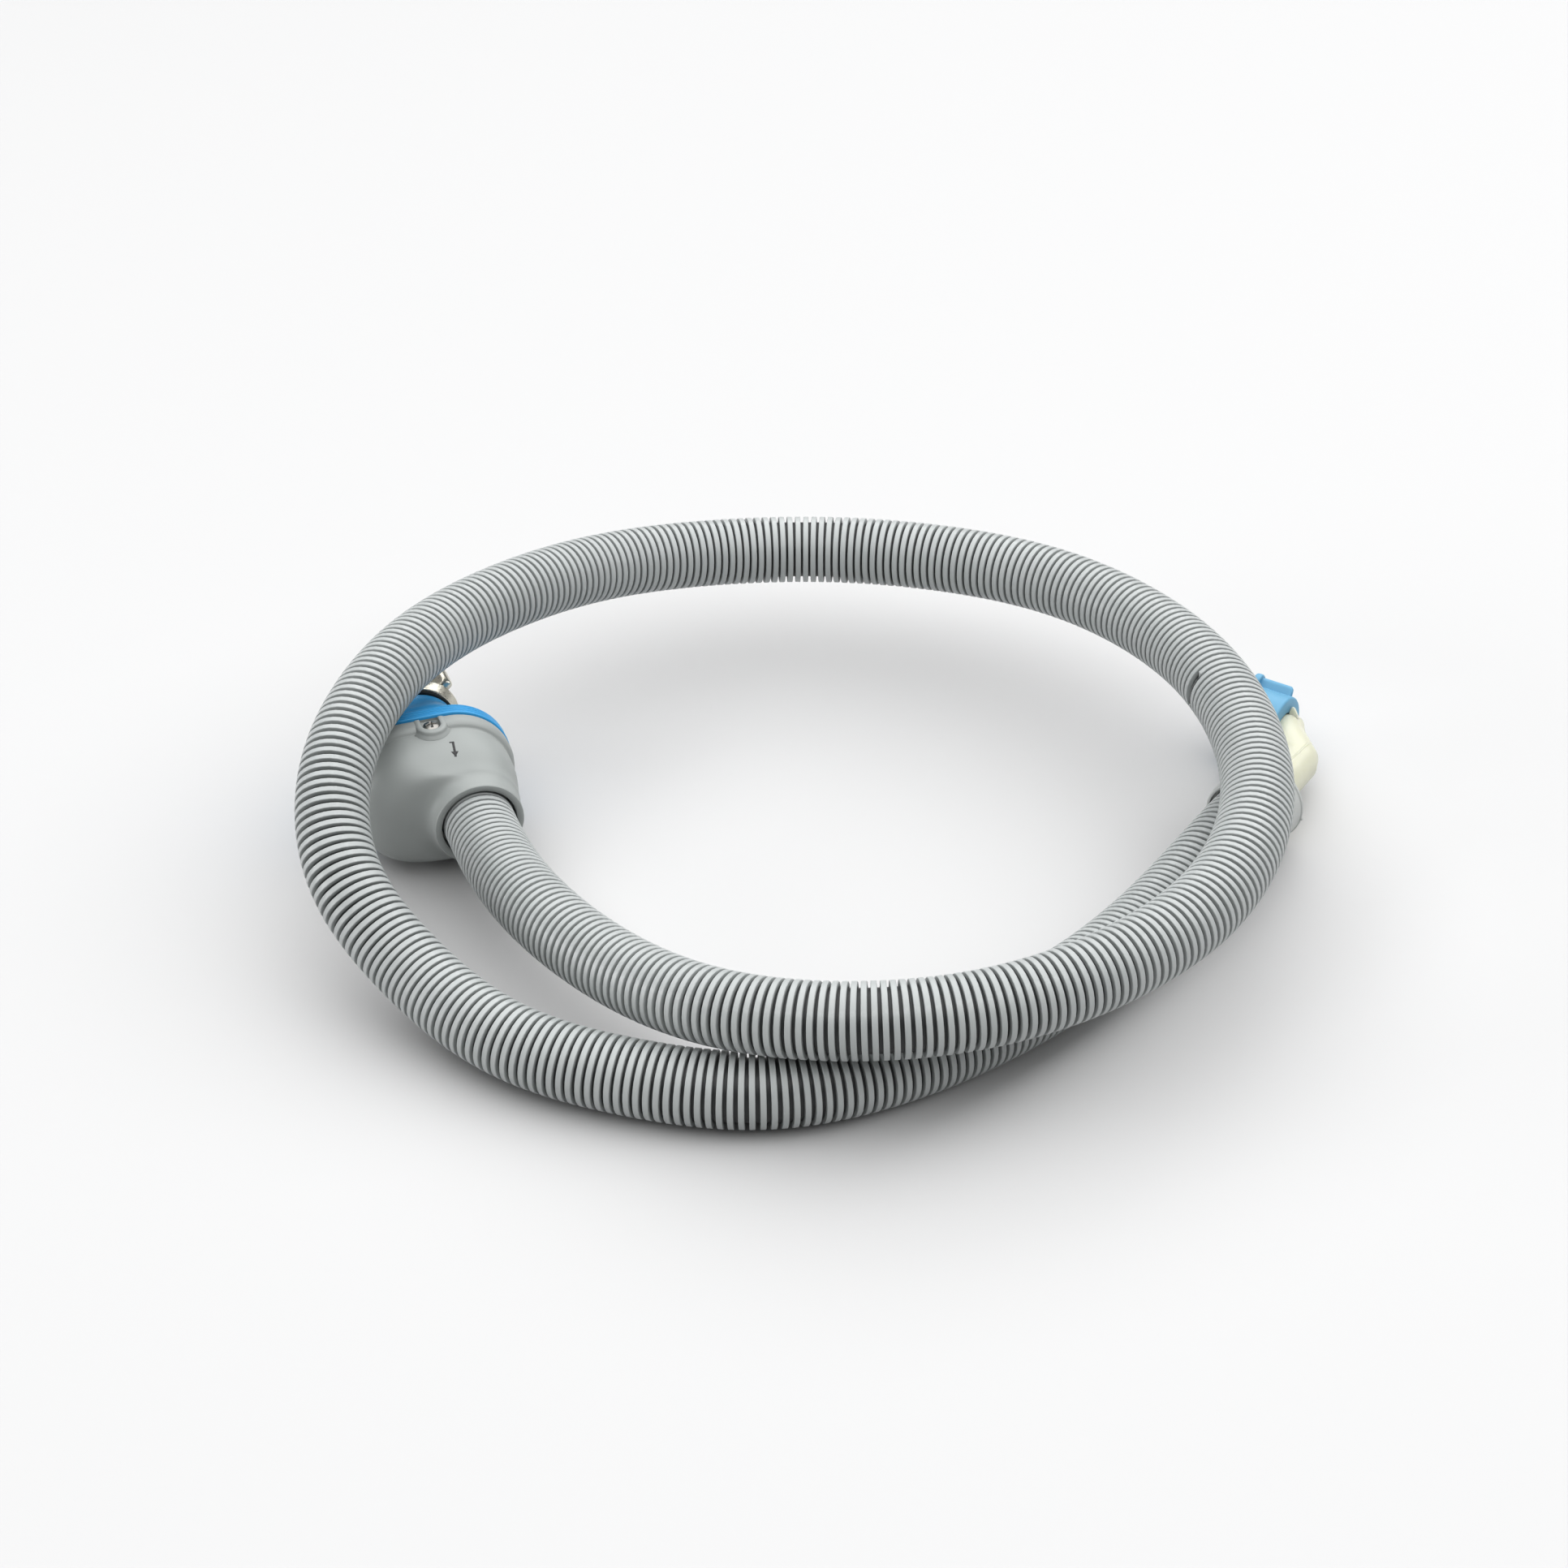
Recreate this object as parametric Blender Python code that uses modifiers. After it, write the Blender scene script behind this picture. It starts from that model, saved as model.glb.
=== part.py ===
"""Water-stop inlet hose for a washing machine, lying in a loop. Metres, +Z up.

The corrugated jacket starts in the mouth of the valve housing on the left, makes a turn and a
half and ends in a collar on the right, where an elbow carries the machine's coupling nut.
Each end has a frame of its own, an empty. In both, Z is up and Y is the direction in which a
coupling lies from the hose: the valve's Y points to the tap, the elbow's Y out of the collar.
"""

import math

import bmesh
import bpy
import numpy as np
from mathutils import Matrix, Vector

GAP = 0.0003  # between faces that touch
SIDES = 32  # round pieces that show
INNER_SIDES = 16  # round pieces inside

# Hoses
HOSE_OUTER_R = 0.0150
HOSE_BORE_R = 0.0120
INNER_HOSE_OUTER_R = 0.0075
INNER_HOSE_BORE_R = 0.0050
HOSE_SPACING = 0.034  # between the points of a swept hose
STRAIGHT = 0.014  # the hose runs straight this far out of each end
HOSE_POINTS = (
    (-0.1174, -0.0839, 0.0340),
    (-0.0844, -0.1259, 0.0370),
    (-0.0414, -0.1599, 0.0435),
    (0.0097, -0.1719, 0.0476),
    (0.0616, -0.1639, 0.0492),
    (0.1086, -0.1389, 0.0505),
    (0.1466, -0.1009, 0.0530),
    (0.1677, -0.0539, 0.0570),
    (0.1716, -0.0009, 0.0590),
    (0.1607, 0.0501, 0.0600),
    (0.1367, 0.0961, 0.0590),
    (0.0997, 0.1341, 0.0570),
    (0.0536, 0.1591, 0.0540),
    (0.0026, 0.1711, 0.0520),
    (-0.0494, 0.1671, 0.0530),
    (-0.0974, 0.1451, 0.0590),
    (-0.1384, 0.1051, 0.0680),
    (-0.1704, 0.0601, 0.0736),
    (-0.1914, 0.0101, 0.0745),
    (-0.2014, -0.0369, 0.0647),
    (-0.1934, -0.0789, 0.0455),
    (-0.1664, -0.1109, 0.0270),
    (-0.1264, -0.1449, 0.0175),
    (-0.0794, -0.1649, 0.0155),
    (-0.0273, -0.1729, 0.0155),
    (0.0226, -0.1579, 0.0155),
    (0.0667, -0.1289, 0.0155),
    (0.1046, -0.0929, 0.0155),
    (0.1367, -0.0509, 0.0155),
)

# The two end frames
VALVE_AT = (-0.17098, 0.0170, 0.0)
VALVE_YAW = math.radians(19.2)
ELBOW_AT = (0.17232, 0.0013, 0.0)
ELBOW_YAW = math.radians(-33.0)

# Valve housing: the seam with the cover is at Y = 0
HOUSING_Z = 0.0300
HOUSING_HALF_W = 0.0368
HOUSING_HALF_H = 0.0297
HOUSING_WALL = 0.0020
BEAD_PROUD = 0.0018
BEAD_LENGTH = 0.0080
SHOULDER_Y = -0.0220
MOUTH_X = 0.0120
MOUTH_Y = -0.0415
MOUTH_CLEARANCE = 0.0020
CLIP_LENGTH = 0.0037
CLIP_DEPTH = 0.0032  # radial depth of the ring that holds the jacket
SIDE_FLAT = 0.0026  # straight part of a side, half of it

# Cover
FLANGE_OVERHANG = 0.0003
FLANGE_LENGTH = 0.0067
COVER_WALL = 0.0022
TONGUE_CLEARANCE = 0.0003
TONGUE_WALL = 0.0016
TONGUE_DEPTH = 0.0082
BOSS_Y = 0.0370
BOSS_R = 0.0200
GUSSETS = (52, 70, 92, 112, 132)  # degrees round the flange

# Screw pocket
SCREW_X, SCREW_Y = 0.0019, -0.0043
POCKET_R = 0.0039
POCKET_WALL = 0.0021
POCKET_FLOOR_Z = HOUSING_Z + HOUSING_HALF_H - 0.0013
POCKET_RIM_Z = HOUSING_Z + HOUSING_HALF_H + 0.0009
SCREW_HEAD_R = 0.0033
SCREW_HEAD_H = 0.0020
SCREW_SHANK_R = 0.00145
SCREW_LENGTH = 0.0085
SCREW_BOSS_WALL = 0.0018

# Inlet: spigot, ring and nut share one axis
INLET_X, INLET_Z = 0.0040, 0.0305
SPIGOT_R = 0.0098
SPIGOT_BORE_R = 0.0075
SPIGOT_START_Y = 0.0200
SPIGOT_FLANGE_R = 0.0117
SPIGOT_FLANGE = 0.0023
O_RING_Y = 0.0270
O_RING_WIRE = 0.0011
RING_THICK = 0.0020
RING_R = 0.0185
NUT_BORE_R = 0.0126
NUT_BASE = 0.0025
NUT_LENGTH = 0.0184
NUT_FLANGE_R = 0.0215
NUT_BARREL_R = 0.0172
NUT_EAR_R = 0.0040
NUT_EAR_TIP_R = 0.0245
NUT_EAR_ANGLE = math.radians(42.0)
WASHER_THICK = 0.0025
WASHER_HOLE_R = 0.0065
STRAINER_DEPTH = 0.0120
STRAINER_WALL = 0.0006
STRAINER_RIM_R = 0.0088
STRAINER_RIM = 0.0010

# Valve inside: the plunger moves up and down
PLUNGER_X, PLUNGER_Y = 0.0020, 0.0080
CHAMBER_R = 0.0075
BODY_WALL = 0.0020
BODY_BOTTOM_Z = 0.0223
BODY_TOP_Z = 0.0440
SEAT_Z = 0.0343
SEAT_HOLE_R = 0.0040
INLET_HOLE_R = 0.0035
OUTLET_Z = 0.0395
OUTLET_HOLE_R = 0.0030
BARB_LENGTH = 0.0160
BARB_CLEARANCE = 0.0006
SOCKET_WALL = 0.0028
TRAVEL = 0.0030
SEAL_THICK = 0.0018
SEAL_R = 0.0060
HEAD_THICK = 0.0016
STEM_R = 0.0020
STEM_CLEARANCE = 0.0003
BONNET_FLANGE = 0.0015
BONNET_PLUG = 0.0032
STEM_SEAL_R = 0.0037
PAD_THICK = 0.0010
PAD_R = 0.0065
SPRING_LENGTH = 0.0053
SPRING_R = 0.0042
SPRING_WIRE_R = 0.00035
SPRING_TURNS = 3.5
CAPSULE_R = 0.0073
CAGE_WALL = 0.0009
CAGE_FLOOR = 0.0012
CAGE_CLEARANCE = 0.0008  # over the inside of the cover's tongue
CAGE_SLOTS = 6

# Ferrules on the inner hose
FERRULE_WALL = 0.0009
FERRULE_LENGTH = 0.0120

# Elbow end: the collar's lip is at Y = 0
COLLAR_Z = 0.0187
COLLAR_LENGTH = 0.0200
COLLAR_LIP_R = 0.0173
COLLAR_RIM_R = 0.0187
COLLAR_LIP = 0.0018
COLLAR_LIP_CLEARANCE = 0.0010
COLLAR_WALL = 0.0014
ELBOW_DISC = 0.0020
ELBOW_DISC_INSET = 0.0010
ELBOW_TUBE_R = 0.0100
ELBOW_BORE_R = 0.0065
ELBOW_LEG_X = -0.0025
ELBOW_AXIS_Z = 0.0170
ELBOW_BEND_R = 0.0120
ELBOW_TAIL_Y = 0.0725
ELBOW_TAIL_R = 0.0088
ELBOW_BARB_LENGTH = 0.0170
BARB_HOLE_R = 0.0035
ENUT_FACE_X = -0.0160
ENUT_LENGTH = 0.0210
ENUT_R = 0.0158
ENUT_BASE = 0.0025
ENUT_FLANGE_R = 0.0167
ENUT_FLANGE = 0.0032
ENUT_BAR_TIP_R = 0.0210
ENUT_BAR_THICK = 0.0026
ENUT_LOBE_TIP_R = 0.0222
ENUT_LOBE_R = 0.0044
ENUT_BAR_ANGLE = math.radians(45.0)
SNAP_THICK = 0.0010
SNAP_R = 0.0112
SNAP_GROOVE = 0.0011  # depth of its groove

COLOURS = {
    "grey_plastic": ((0.36, 0.38, 0.38), 0.5, 0.0),
    "hose_plastic": ((0.42, 0.45, 0.45), 0.5, 0.0),
    "blue_plastic": ((0.03, 0.28, 0.66), 0.45, 0.0),
    "pale_nylon": ((0.82, 0.84, 0.66), 0.35, 0.0),
    "valve_plastic": ((0.75, 0.75, 0.72), 0.45, 0.0),
    "black_rubber": ((0.02, 0.03, 0.03), 0.6, 0.0),
    "zinc": ((0.70, 0.68, 0.58), 0.35, 1.0),
    "steel": ((0.45, 0.45, 0.45), 0.3, 1.0),
    "brass": ((0.72, 0.55, 0.25), 0.3, 1.0),
    "inner_rubber": ((0.10, 0.10, 0.11), 0.6, 0.0),
    "pellet": ((0.85, 0.80, 0.70), 0.8, 0.0),
}

for old in list(bpy.data.objects):
    bpy.data.objects.remove(old, do_unlink=True)

part = bpy.data.collections.new("water_stop_inlet_hose")
cutters = bpy.data.collections.new("cutters")
for made in (part, cutters):
    bpy.context.scene.collection.children.link(made)


def material(name):
    """The named material, made on first use."""
    found = bpy.data.materials.get(name)
    if found:
        return found
    colour, roughness, metallic = COLOURS[name]
    found = bpy.data.materials.new(name)
    found.use_nodes = True
    shader = found.node_tree.nodes["Principled BSDF"]
    shader.inputs["Base Color"].default_value = (*colour, 1)
    shader.inputs["Roughness"].default_value = roughness
    shader.inputs["Metallic"].default_value = metallic
    found.diffuse_color = (*colour, 1)
    return found


def frame(name, location, yaw):
    """An empty that carries one end of the hose."""
    empty = bpy.data.objects.new(name, None)
    empty.location = location
    empty.rotation_euler = (0, 0, yaw)
    part.objects.link(empty)
    return empty, Matrix.Translation(location) @ Matrix.Rotation(yaw, 4, "Z")


valve, VALVE = frame("valve_frame", VALVE_AT, VALVE_YAW)
elbow_end, ELBOW = frame("elbow_frame", ELBOW_AT, ELBOW_YAW)


def place(name, mesh, colour, parent=None, at=(0, 0, 0), turn=(0, 0, 0)):
    """A piece with its material, or a cutter when it has no colour."""
    obj = bpy.data.objects.new(name, mesh)
    obj.location = at
    obj.rotation_euler = turn
    obj.parent = parent
    if colour:
        part.objects.link(obj)
        mesh.materials.append(material(colour))
        mesh.shade_smooth()
        mesh.set_sharp_from_angle(angle=math.radians(35))
    else:
        cutters.objects.link(obj)
        obj.hide_render = True
        obj.display_type = "WIRE"
    return obj


def mesh_of(build):
    """A mesh from a function that fills a bmesh, with its faces turned outwards."""
    bm = bmesh.new()
    build(bm)
    bmesh.ops.recalc_face_normals(bm, faces=bm.faces)
    mesh = bpy.data.meshes.new("mesh")
    bm.to_mesh(mesh)
    bm.free()
    return mesh


def boolean(obj, other, operation):
    step = obj.modifiers.new(other.name, "BOOLEAN")
    step.object = other
    step.operation = operation
    return obj


def turned(name, profile, colour, parent, at, turn=(0, 0, 0), sides=SIDES):
    """A turned piece. The profile is a closed loop of (radius, height), down its outer side."""
    mesh = bpy.data.meshes.new(name)
    loop = [(radius, 0, height) for radius, height in profile]
    count = len(loop)
    mesh.from_pydata(loop, [(i, (i + 1) % count) for i in range(count)], [])
    obj = place(name, mesh, colour, parent, at, turn)
    screw = obj.modifiers.new("turn", "SCREW")
    screw.steps = sides
    screw.render_steps = sides
    screw.use_merge_vertices = True
    screw.merge_threshold = 1e-6
    screw.use_smooth_shade = True
    return obj


def ring(inner, outer, low, high):
    """The profile of a plain ring."""
    return [(inner, high), (outer, high), (outer, low), (inner, low)]


def rod(name, start, end, radius, parent, colour=None, sides=INNER_SIDES, end_radius=None):
    """A cylinder or a cone from start to end, by default a cutter."""
    along = Vector(end) - Vector(start)
    spin = along.to_track_quat("Z", "Y").to_matrix().to_4x4()
    where = Matrix.Translation((Vector(start) + Vector(end)) / 2) @ spin
    mesh = mesh_of(
        lambda bm: bmesh.ops.create_cone(
            bm,
            cap_ends=True,
            segments=sides,
            radius1=radius,
            radius2=radius if end_radius is None else end_radius,
            depth=along.length,
            matrix=where,
        )
    )
    return place(name, mesh, colour, parent)


def box(name, low, high, parent, turn=None):
    """A box cutter or helper between two corners, turned about the frame's origin."""
    low, high = Vector(low), Vector(high)
    where = Matrix.Translation((low + high) / 2) @ Matrix.Diagonal((*(high - low), 1))
    where = (turn or Matrix.Identity(4)) @ where
    mesh = mesh_of(lambda bm: bmesh.ops.create_cube(bm, size=1, matrix=where))
    return place(name, mesh, None, parent)


def outline(y, centre_x, centre_z, half_w, half_h, flat=0.0, steps=6):
    """A ring of points at station y: a rounded rectangle, or a circle where flat is 0."""
    corner = min(half_w, half_h) - flat
    points = []
    for quarter in range(4):
        side_x = 1 if quarter in (0, 3) else -1
        side_z = 1 if quarter in (0, 1) else -1
        for step in range(steps):
            angle = (quarter + step / (steps - 1)) * math.pi / 2
            if corner in (half_w, half_h) and half_w == half_h:
                angle = (quarter + step / steps) * math.pi / 2
            x = centre_x + side_x * (half_w - corner) + corner * math.cos(angle)
            z = centre_z + side_z * (half_h - corner) + corner * math.sin(angle)
            points.append(Vector((x, y, z)))
    return points


def shell(name, rings, colour, parent):
    """A closed surface through a loop of rings: up the outside and back down the inside."""

    def build(bm):
        rows = [[bm.verts.new(point) for point in row] for row in rings]
        for row, following in zip(rows, rows[1:] + rows[:1]):
            for i in range(len(row)):
                j = (i + 1) % len(row)
                bm.faces.new((row[i], row[j], following[j], following[i]))

    return place(name, mesh_of(build), colour, parent)


def smooth_route(points, spacing):
    """Evenly spaced points on the natural cubic spline through a route's own points."""
    knots = np.array(points)
    run = np.append(0, np.cumsum(np.linalg.norm(np.diff(knots, axis=0), axis=1)))
    step = np.diff(run)
    count = len(knots)
    system = np.eye(count)
    slopes = np.diff(knots, axis=0) / step[:, None]
    right = np.zeros_like(knots)
    for i in range(1, count - 1):
        system[i, i - 1 : i + 2] = (step[i - 1], 2 * (step[i - 1] + step[i]), step[i])
        right[i] = 6 * (slopes[i] - slopes[i - 1])
    bend = np.linalg.solve(system, right)

    def at(length):
        i = np.clip(np.searchsorted(run, length) - 1, 0, count - 2)
        before = (length - run[i])[:, None]
        after = (run[i + 1] - length)[:, None]
        h = step[i][:, None]
        return (
            (bend[i] * after**3 + bend[i + 1] * before**3) / (6 * h)
            + (knots[i] / h - bend[i] * h / 6) * after
            + (knots[i + 1] / h - bend[i + 1] * h / 6) * before
        )

    dense = at(np.linspace(0, run[-1], 4000))
    length = np.append(0, np.cumsum(np.linalg.norm(np.diff(dense, axis=0), axis=1)))
    even = np.linspace(0, length[-1], round(length[-1] / spacing) + 1)
    return np.stack([np.interp(even, length, dense[:, k]) for k in range(3)], axis=1)


def swept(name, points, radius, colour, resolution=4, parent=None):
    """A round bar along the points, as a mesh."""
    curve = bpy.data.curves.new(name, "CURVE")
    curve.dimensions = "3D"
    curve.bevel_depth = radius
    curve.bevel_resolution = resolution
    curve.use_fill_caps = True
    spline = curve.splines.new("POLY")
    spline.points.add(len(points) - 1)
    for point, xyz in zip(spline.points, points):
        point.co = (*xyz, 1)
    guide = bpy.data.objects.new(name + "_guide", curve)
    bpy.context.scene.collection.objects.link(guide)
    bpy.context.view_layer.update()
    graph = bpy.context.evaluated_depsgraph_get()
    mesh = bpy.data.meshes.new_from_object(guide.evaluated_get(graph))
    bpy.data.objects.remove(guide)
    bm = bmesh.new()
    bm.from_mesh(mesh)
    bmesh.ops.remove_doubles(bm, verts=bm.verts, dist=1e-6)
    bmesh.ops.recalc_face_normals(bm, faces=bm.faces)
    bm.to_mesh(mesh)
    bm.free()
    mesh.materials.clear()
    return place(name, mesh, colour, parent)


def lengthened(points, by):
    """The same route, run on straight at both ends, for a cutter."""
    first, second = Vector(points[0]), Vector(points[1])
    last, before = Vector(points[-1]), Vector(points[-2])
    start = first + (first - second).normalized() * by
    end = last + (last - before).normalized() * by
    return [start, *points, end]


TO_Y = (-math.pi / 2, 0, 0)  # turns a piece's own Z to the frame's Y
MOUTH_R = HOSE_OUTER_R + MOUTH_CLEARANCE
CLIP_R = HOSE_OUTER_R + GAP + CLIP_DEPTH - GAP
CLIP_Y = MOUTH_Y + 0.0065  # the clip's outer face, on the mouth's shoulder
CLIP_POCKET_R = CLIP_R + GAP
COLLAR_CLIP_R = COLLAR_LIP_R - COLLAR_WALL + GAP


def valve_housing():
    """Grey shell: a bead at the seam, flat sides and a shoulder that turns into the round mouth."""
    w, h, z = HOUSING_HALF_W, HOUSING_HALF_H, HOUSING_Z
    side = BEAD_PROUD
    end = SHOULDER_Y
    lip = MOUTH_R + HOUSING_WALL
    inner_w, inner_h = w - side - HOUSING_WALL, h - side - HOUSING_WALL
    outside = [
        outline(MOUTH_Y, MOUTH_X, z, lip - 0.0005, lip - 0.0005),
        outline(MOUTH_Y + 0.0010, MOUTH_X, z, lip, lip),
        outline(CLIP_Y, MOUTH_X - 0.0005, z, lip + 0.0010, lip + 0.0007, 0.0001),
        outline(end - 0.0100, 0.0070, z, w - 0.0118, h - 0.0087, 0.0005),
        outline(end - 0.0060, 0.0025, z - 0.0002, w - 0.0068, h - 0.0067, 0.0010),
        outline(end, 0.0005, z - 0.0003, w - 0.0036, h - 0.0041, SIDE_FLAT),
        outline(-BEAD_LENGTH, 0, z, w - side, h - side, SIDE_FLAT),
        outline(-BEAD_LENGTH + 0.0013, 0, z, w - side * 0.2, h - side * 0.2, SIDE_FLAT),
        outline(-BEAD_LENGTH * 0.5, 0, z, w, h, SIDE_FLAT),
        outline(-0.0008, 0, z, w, h, SIDE_FLAT),
        outline(0, 0, z, w - 0.0006, h - 0.0006, SIDE_FLAT),
    ]
    wall = HOUSING_WALL
    inside = [
        outline(0, 0, z, inner_w, inner_h, SIDE_FLAT),
        outline(-BEAD_LENGTH - 0.0010, 0, z, inner_w, inner_h, SIDE_FLAT),
        outline(end, 0.0005, z - 0.0003, w - 0.0036 - wall, h - 0.0041 - wall, SIDE_FLAT),
        outline(end - 0.0050, 0.0025, z - 0.0002, w - 0.0092, h - 0.0087, 0.0010),
        outline(end - 0.0080, 0.0080, z, w - 0.0150, h - 0.0104, 0.0003),
        outline(end - 0.0093, MOUTH_X, z, CLIP_POCKET_R, CLIP_POCKET_R),
        outline(CLIP_Y - GAP, MOUTH_X, z, CLIP_POCKET_R, CLIP_POCKET_R),
        outline(CLIP_Y - GAP, MOUTH_X, z, MOUTH_R, MOUTH_R),
        outline(MOUTH_Y, MOUTH_X, z, MOUTH_R, MOUTH_R),
    ]
    housing = shell("valve_housing", outside + inside, "grey_plastic", valve)
    low = POCKET_FLOOR_Z - 0.0009
    wall_r = POCKET_R + POCKET_WALL
    at = (SCREW_X, SCREW_Y)
    pocket = rod("pocket_wall", (*at, low), (*at, POCKET_RIM_Z), wall_r, valve, sides=SIDES)
    seam = box("seam_plane", (-wall_r * 2, 0, 0), (wall_r * 2, wall_r * 2, 0.1), valve)
    boolean(pocket, seam, "DIFFERENCE")
    boolean(housing, pocket, "UNION")
    top = POCKET_RIM_Z + 0.005
    for cutter in (
        rod("pocket", (*at, POCKET_FLOOR_Z), (*at, top), POCKET_R, valve, sides=SIDES),
        box("pocket_slot", (SCREW_X - POCKET_R, SCREW_Y, POCKET_FLOOR_Z),
            (SCREW_X + POCKET_R, 0.002, top), valve),
        rod("screw_hole", (*at, low - 0.005), (*at, top), SCREW_SHANK_R + GAP, valve),
    ):
        boolean(housing, cutter, "DIFFERENCE")


def housing_cover():
    """Blue cover: flange, dome, round boss for the spigot, and a tongue inside the housing."""
    z = HOUSING_Z
    w, h = HOUSING_HALF_W + FLANGE_OVERHANG, HOUSING_HALF_H + FLANGE_OVERHANG
    side = TONGUE_SIDE
    tongue_w, tongue_h = HOUSING_HALF_W - side, HOUSING_HALF_H - side
    back = GAP + FLANGE_LENGTH
    dome = (
        (0.00, 0.0043, 0.0036),
        (0.20, 0.0052, 0.0039),
        (0.40, 0.0070, 0.0046),
        (0.60, 0.0103, 0.0063),
        (0.78, 0.0135, 0.0083),
        (0.91, 0.0158, 0.0094),
    )

    def stations(inset):
        rows = []
        for share, less_w, less_h in dome:
            y = back + share * (BOSS_Y - back)
            slide = share**1.5
            centre = (INLET_X * slide, z + (INLET_Z - z) * slide)
            size = (w - less_w - inset, h - less_h - inset)
            rows.append(outline(y, *centre, *size, SIDE_FLAT * (1 - share)))
        return rows

    face = BOSS_Y - COVER_WALL
    hole = SPIGOT_R + GAP
    boss = BOSS_R - COVER_WALL
    axis = (INLET_X, INLET_Z)
    rings = [
        outline(GAP, 0, z, w, h, SIDE_FLAT),
        outline(back - 0.0008, 0, z, w, h, SIDE_FLAT),
        outline(back, 0, z, w - 0.0008, h - 0.0008, SIDE_FLAT),
        *stations(0.0),
        outline(BOSS_Y - 0.0008, *axis, BOSS_R, BOSS_R),
        outline(BOSS_Y, *axis, BOSS_R - 0.0008, BOSS_R - 0.0008),
        outline(BOSS_Y, *axis, hole, hole),
        outline(face, *axis, hole, hole),
        outline(face, *axis, boss, boss),
        *reversed(stations(COVER_WALL)),
        outline(GAP, 0, z, tongue_w - TONGUE_WALL, tongue_h - TONGUE_WALL, SIDE_FLAT),
        outline(-TONGUE_DEPTH, 0, z, tongue_w - TONGUE_WALL, tongue_h - TONGUE_WALL, SIDE_FLAT),
        outline(-TONGUE_DEPTH, 0, z, tongue_w, tongue_h, SIDE_FLAT),
        outline(GAP, 0, z, tongue_w, tongue_h, SIDE_FLAT),
    ]
    cover = shell("housing_cover", rings, "blue_plastic", valve)
    top = z + tongue_h
    low = top - SCREW_LENGTH
    at = (SCREW_X, SCREW_Y)
    hole = SCREW_SHANK_R + GAP
    boss = rod("screw_boss", (*at, low), (*at, top - GAP), hole + SCREW_BOSS_WALL, valve)
    boolean(cover, boss, "UNION")
    for angle in map(math.radians, GUSSETS):
        turn = Matrix.Translation((0, 0, z)) @ Matrix.Rotation(math.pi / 2 - angle, 4, "Y")
        name = f"gusset_{round(math.degrees(angle))}"
        reach = h if abs(math.cos(angle)) < 0.5 else (h + w) / 2
        low_corner = (-0.0006, back - 0.0010, h - 0.0052)
        gusset = box(name, low_corner, (0.0006, back + 0.0022, reach - 0.0022), valve, turn)
        boolean(cover, gusset, "UNION")
    drill = rod("screw_pilot", (*at, low - 0.005), (*at, top + 0.005), hole, valve)
    boolean(cover, drill, "DIFFERENCE")


def cover_screw():
    """Pan head screw with a cross recess, standing in its pocket."""
    under = POCKET_FLOOR_Z + GAP
    top = under + SCREW_HEAD_H
    tip = under - SCREW_LENGTH
    profile = [
        (0, top),
        (SCREW_HEAD_R * 0.6, top - 0.0002),
        (SCREW_HEAD_R, top - SCREW_HEAD_H * 0.55),
        (SCREW_HEAD_R, under),
        (SCREW_SHANK_R, under),
        (SCREW_SHANK_R, tip + SCREW_SHANK_R),
        (0, tip),
    ]
    mesh = bpy.data.meshes.new("cover_screw")
    mesh.from_pydata([(x, 0, y) for x, y in profile], [(i, i + 1) for i in range(6)], [])
    screw = place("cover_screw", mesh, "steel", valve, (SCREW_X, SCREW_Y, 0))
    spin = screw.modifiers.new("turn", "SCREW")
    spin.steps = INNER_SIDES
    spin.render_steps = INNER_SIDES
    spin.use_merge_vertices = True
    spin.merge_threshold = 1e-6
    arm, half = SCREW_HEAD_R * 0.6, 0.00035
    for name, x, y in (("recess_a", arm, half), ("recess_b", half, arm)):
        low = (SCREW_X - x, SCREW_Y - y, top - 0.0011)
        high = (SCREW_X + x, SCREW_Y + y, top + 0.001)
        boolean(screw, box(name, low, high, valve), "DIFFERENCE")


RING_Y = BOSS_Y + GAP
NUT_Y = RING_Y + RING_THICK + GAP
NUT_SEAT_Y = NUT_Y + NUT_BASE
SPIGOT_END_Y = NUT_SEAT_Y + GAP + SPIGOT_FLANGE
INLET_AT = (INLET_X, 0, INLET_Z)


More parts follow.
